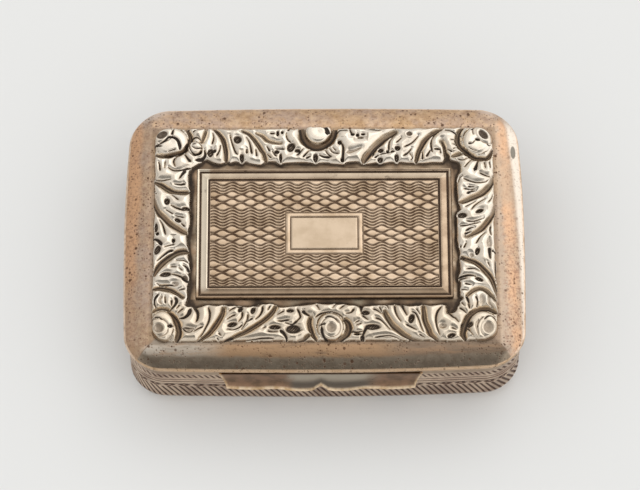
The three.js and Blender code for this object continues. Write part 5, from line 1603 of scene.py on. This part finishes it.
class VINAIGRETTE_OT_border(bpy.types.Operator):
    """Carve the border of cast leaves and scrolls"""

    bl_idname = "vinaigrette.border"
    bl_label = "Leaf border"

    def execute(self, context):
        relief = Relief(context.scene.vinaigrette_border)
        height = relief.carve()
        silver = shared(cast_silver)
        x, y = BORDER_HALF_X + 0.08, BORDER_HALF_Y + 0.08
        sides = {
            "leaf_border_back": ((-x, FRAME_HALF_Y), (x, y)),
            "leaf_border_front": ((-x, -y), (x, -FRAME_HALF_Y)),
            "leaf_border_left": ((-x, -FRAME_HALF_Y), (-FRAME_HALF_X, FRAME_HALF_Y)),
            "leaf_border_right": ((FRAME_HALF_X, -FRAME_HALF_Y), (x, FRAME_HALF_Y)),
        }
        for name, (low, high) in sides.items():
            dress(relief.rail(name, height, low, high), silver, "lid", "silver", "leaf_border")
        return {"FINISHED"}


class VINAIGRETTE_OT_cover(bpy.types.Operator):
    """Build the lid's cushioned cover with its plain margin, and the rim round it"""

    bl_idname = "vinaigrette.cover"
    bl_label = "Lid cover and rim"

    def execute(self, context):
        under = WALL_INNER + SOLDER_GAP
        edge = LIP_TOP + SOLDER_GAP
        start = BEAD_WIDTH + 0.01
        shares = np.linspace(0, 1, 23)
        inside = [(d, margin_height(d) - SHEET) for d in under + (MARGIN_WIDTH - under) * shares][::-1]
        outside = [(d, margin_height(d)) for d in start + (MARGIN_WIDTH - start) * shares]
        section = inside + [(under, edge), (start, edge)] + outside
        loops = [inset(d, z, max(CORNER_RADIUS - CORNER_PINCH * d, 0.3)) for d, z in section]
        within = [float(k < len(inside)) for k in range(len(section))]
        cover = skin("lid_cover", loops, False, marks={"away": [d for d, z in section], "within": within})
        crease(cover, 24)
        dress(cover, shared(margin_silver), "lid", "tarnished_silver", "lid_top")

        top = margin_height(BEAD_WIDTH)
        middle, half = (LIP_BOTTOM + top) / 2, (top - LIP_BOTTOM) / 2
        angles = np.linspace(-math.pi / 2, math.pi / 2, 21)
        bead = [(BEAD_WIDTH * (1 - math.cos(a)), middle + half * math.sin(a)) for a in angles]
        section = [(WALL_INNER, LIP_BOTTOM)] + bead + [(BEAD_WIDTH + 0.02, LIP_TOP), (WALL_INNER, LIP_TOP)]
        rim = skin("lid_rim_bead", [inset(d, z) for d, z in section], True)
        crease(rim, 50)
        dress(rim, shared(rim_silver), "lid", "tarnished_silver", "lid_rim")
        return {"FINISHED"}


class VINAIGRETTE_OT_walls(bpy.types.Operator):
    """Build the engine-turned walls of the case and the lid"""

    bl_idname = "vinaigrette.walls"
    bl_label = "Turned walls"

    def execute(self, context):
        lid = wall_piece("turned_lid_wall", PARTING + PARTING_GAP, LIP_BOTTOM - SOLDER_GAP, True)
        dress(lid, None, "lid", "silver", "lid_wall")
        case = wall_piece("turned_case_wall", WALL_BOTTOM, PARTING - PARTING_GAP, False)
        dress(case, None, "case", "silver", "case_wall")
        return {"FINISHED"}


class VINAIGRETTE_OT_base(bpy.types.Operator):
    """Build the rounded base and finish the plain silver inside it"""

    bl_idname = "vinaigrette.base"
    bl_label = "Base and inside"

    def execute(self, context):
        def curve(depth):
            rim = WALL_BOTTOM - SOLDER_GAP
            reach = BASE_MARGIN - WALL_INSET - depth
            angles = np.linspace(0, math.pi / 2, 19)
            return [(BASE_MARGIN - reach * math.sin(a), rim - (rim - depth) * math.cos(a)) for a in angles]

        points, outwards, along, around = even_ring(WALL_INSET, BASE_SPACING)
        loops, heights, within = [], [], []
        for thick in (0, SHEET):
            for distance, z in curve(thick)[::-1 if thick else 1]:
                flat = points - outwards * (distance - WALL_INSET)
                loops.append(np.column_stack([flat, np.full(len(flat), z)]))
                heights.append(0 if thick else z)
                within.append(1.0 if thick else 0.0)
        base = skin("rounded_base", loops, False, marks={"height": heights, "within": within})
        keep_mark(base.data, "along", np.append(np.tile(along, len(loops)), [0, 0]))
        crease(base, 40)
        silver = shared(plain_silver)
        dress(base, turned_wall("turned_base_silver", False, around), "case", "silver", "case_base")
        finish_nodes(silver, "case_hinge_bearer", "lid_hinge_bearer")
        finish_nodes(shared(gilt_silver), "case_collar", "grille_ledge")
        return {"FINISHED"}


class VINAIGRETTE_OT_panel(bpy.types.Operator):
    """Cut the engine-turned panel with its bare reserve, and build the moulded frame round it"""

    bl_idname = "vinaigrette.panel"
    bl_label = "Panel and frame"

    def execute(self, context):
        dress(turned_sheet(), None, "lid", "tarnished_silver", "engine_turned_panel")
        dress(moulding_piece(), shared(moulding_silver), "lid", "tarnished_silver", "panel_frame")
        return {"FINISHED"}


class VINAIGRETTE_OT_thumbpiece(bpy.types.Operator):
    """Build the thumbpiece with its flared, waved lower edge"""

    bl_idname = "vinaigrette.thumbpiece"
    bl_label = "Thumbpiece"

    def execute(self, context):
        share = np.linspace(-1, 1, 241)
        spread = np.abs(share) * (THUMB_HALF - THUMB_TAPER)
        low = THUMB_BOTTOM + np.interp(spread, *zip(*THUMB_EDGE))
        eased = np.convolve(np.pad(low, 4, mode="edge"), np.ones(9) / 9, "valid")
        low = np.where(spread > 0.9, eased, low)
        down = np.linspace(0, 1, 36) ** 0.85
        front, edge, lowness = [], [], []
        for t in down:
            z = THUMB_TOP + (low - THUMB_TOP) * t
            x = THUMB_MIDDLE + share * (THUMB_HALF - THUMB_TAPER * t)
            flare = np.exp(-((np.clip(z - low, 0, None) / 0.36) ** 1.4)) * unit((THUMB_TOP - z) / 0.5)
            front.append(np.column_stack([x, THUMB_FACE - THUMB_FLARE * flare, z]))
            # the painted highlight's mask: the flare of the lower edge and both ends of the plate
            worn = unit((flare - 0.42) / 0.34)
            lowness.append(np.full(len(x), t))
            edge.append(np.maximum(worn, unit((np.abs(share) - 0.97) / 0.02)))
        front = np.array(front)
        back = front.copy()
        back[:, :, 1] = np.minimum(back[:, :, 1] + THUMB_SHEET, THUMB_BACK)
        made = slab("thumb_plate", front, back, marks={"edge": edge, "low": lowness})
        crease(made, 50)
        dress(made, shared(thumb_silver), "lid", "tarnished_silver", "thumbpiece")
        return {"FINISHED"}


class VINAIGRETTE_OT_hinges(bpy.types.Operator):
    """Build the knuckles of the lid's hinge and of the grille's hinge"""

    bl_idname = "vinaigrette.hinges"
    bl_label = "Hinges"

    def execute(self, context):
        sizes = context.scene.vinaigrette_hinge
        pitch = sizes.length / sizes.count
        large = (sizes.radius, sizes.bore, pitch - sizes.gap, 2 * pitch)
        lid_hinge = (large, LID_HINGE_Y, PARTING, shared(plain_silver), "silver")
        grille_hinge = (GRILLE_KNUCKLE, GRILLE_HINGE_Y, GRILLE_HINGE_Z, shared(gilt_silver), "silver_gilt")
        rows = (
            ("case_knuckles", "case_hinge_knuckle_", 4, "case", lid_hinge),
            ("lid_knuckles", "lid_hinge_knuckle_", 3, "lid", lid_hinge),
            ("grille_case_knuckles", "grille_case_knuckle_", 2, "case", grille_hinge),
            ("grille_knuckle", "grille_knuckle_", 1, "grille", grille_hinge),
        )
        for name, node, count, body, (shape, y, z, metal, slot) in rows:
            row = knuckle_piece(name, *shape, count, y, z, metal)
            dress(row, None, body, slot, *[node + str(k + 1) for k in range(count)])
        finish_nodes(shared(pin_silver), "lid_hinge_pin", "grille_hinge_pin")
        return {"FINISHED"}


class VINAIGRETTE_OT_grille(bpy.types.Operator):
    """Finish the pierced grille"""

    bl_idname = "vinaigrette.grille"
    bl_label = "Pierced grille"

    def execute(self, context):
        finish_nodes(shared(gilt_silver), "grille_plate")
        return {"FINISHED"}


class VINAIGRETTE_OT_sponge(bpy.types.Operator):
    """Build the sponge that holds the scent"""

    bl_idname = "vinaigrette.sponge"
    bl_label = "Sponge"

    def execute(self, context):
        loops = [inset(d, z, max(CORNER_RADIUS - 0.3 * d, 0.6)) for d, z in SPONGE_SECTION]
        low, top = loops[0], loops[-1]
        for share in SPONGE_CLOSING:
            loops = [low * (share, share, 1.0)] + loops + [top * (share, share, 1.0)]
        made = skin("sponge_pad", loops, False)
        graph, wires = new_tree("sponge_pores", "Depth", "Pore")
        place = graph.node("GeometryNodeInputPosition")
        fine = graph.node("GeometryNodeSubdivideMesh", {"Mesh": wires["Geometry"], "Level": 1})
        scale = graph.node("ShaderNodeMath", {0: 1.0, 1: wires["Pore"]}, operation="DIVIDE")
        pores = graph.node("ShaderNodeTexNoise", {"Vector": place, "Scale": scale, "Detail": 3.0})
        porous = sunk(graph, fine, pores.fall(0.35, 0.6) * wires["Depth"])
        values = {"Depth": SPONGE_DEPTH * MM, "Pore": SPONGE_PORE * MM}
        made = apply_tree(made, graph, porous, shared(dry_sponge), values)
        dress(made, None, "case", "sponge", "sponge")
        return {"FINISHED"}


class VINAIGRETTE_OT_stage(bpy.types.Operator):
    """Set up the pale floor, the soft light and the camera"""

    bl_idname = "vinaigrette.stage"
    bl_label = "Floor, light and camera"

    def execute(self, context):
        sizes = context.scene.vinaigrette_stage
        corners = [(x * FLOOR_HALF, y * FLOOR_HALF, 0) for x, y in ((-1, -1), (1, -1), (1, 1), (-1, 1))]
        floor = mesh_of("floor", corners, np.array([[0, 1, 2, 3]]))
        f = Finish("pale_floor")
        haze = f.noise(12.0, 2.0)
        colour = f.mixed(haze, sizes.floor, tuple(0.985 * c for c in sizes.floor))
        floor.data.materials.append(f.finish(colour, 0.7, 0.0, Specular_IOR_Level=0.2))

        world = bpy.data.worlds.new("soft_room")
        world.use_nodes = True
        context.scene.world = world
        world.node_tree.nodes.clear()
        room = Graph(world.node_tree)
        direction = room.node("ShaderNodeTexCoord", output="Generated")
        facing = room.vector("DOT_PRODUCT", direction, DARK_SIDE)
        x, y, z = room.split(direction)
        mirrored = room.node("ShaderNodeLightPath", output="Is Glossy Ray")
        level = 1.0 - mirrored * facing.step(0.82, 0.94, 0.0, 1.0 - sizes.dark)
        level = level * (1.0 + mirrored * x * 0.42) * (1.0 - (1.0 - mirrored) * y * 0.3)
        colour = room.mixed(z.step(-0.1, 0.7), (0.80, 0.80, 0.81), (1.0, 1.0, 1.0))
        shade = room.node("ShaderNodeBackground", {"Color": colour, "Strength": level * sizes.sky})
        room.node("ShaderNodeOutputWorld", {"Surface": shade})

        lamp = bpy.data.lights.new("soft_lamp", "AREA")
        lamp.energy = sizes.lamp
        lamp.shape = "DISK"
        lamp.size = LAMP_SIZE
        hung = placed("soft_lamp", lamp)
        hung.location = LAMP_PLACE
        hung.rotation_euler = (-Vector(LAMP_PLACE)).to_track_quat("-Z", "Y").to_euler()

        place_camera(context.scene)
        context.scene.view_settings.view_transform = "Standard"
        return {"FINISHED"}


class VINAIGRETTE_PT_panel(bpy.types.Panel):
    """Lists the vinaigrette's pieces"""

    bl_idname = "VINAIGRETTE_PT_panel"
    bl_label = "Vinaigrette"
    bl_space_type = "VIEW_3D"
    bl_region_type = "UI"
    bl_category = "Vinaigrette"

    def draw(self, context):
        for operator in OPERATORS:
            self.layout.operator(operator.bl_idname)
        for name in SETTINGS:
            box = self.layout.box()
            group = getattr(context.scene, name)
            for key in group.bl_rna.properties.keys():
                if key not in ("rna_type", "name"):
                    box.prop(group, key)


SETTINGS = {
    "vinaigrette_border": VinaigretteBorderSettings,
    "vinaigrette_turning": VinaigretteTurningSettings,
    "vinaigrette_hinge": VinaigretteHingeSettings,
    "vinaigrette_finish": VinaigretteFinishSettings,
    "vinaigrette_stage": VinaigretteStageSettings,
}

OPERATORS = (
    VINAIGRETTE_OT_stage,
    VINAIGRETTE_OT_border,
    VINAIGRETTE_OT_cover,
    VINAIGRETTE_OT_walls,
    VINAIGRETTE_OT_base,
    VINAIGRETTE_OT_panel,
    VINAIGRETTE_OT_thumbpiece,
    VINAIGRETTE_OT_hinges,
    VINAIGRETTE_OT_grille,
    VINAIGRETTE_OT_sponge,
)


def register():
    for group in SETTINGS.values():
        bpy.utils.register_class(group)
    for operator in OPERATORS + (VINAIGRETTE_PT_panel,):
        bpy.utils.register_class(operator)
    for name, group in SETTINGS.items():
        setattr(bpy.types.Scene, name, PointerProperty(type=group))


def unregister():
    for name in SETTINGS:
        delattr(bpy.types.Scene, name)
    for operator in reversed(OPERATORS + (VINAIGRETTE_PT_panel,)):
        bpy.utils.unregister_class(operator)
    for group in reversed(list(SETTINGS.values())):
        bpy.utils.unregister_class(group)


def main():
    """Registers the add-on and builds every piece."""
    register()
    for operator in OPERATORS:
        group, name = operator.bl_idname.split(".")
        getattr(getattr(bpy.ops, group), name)()


if __name__ == "__main__":
    main()
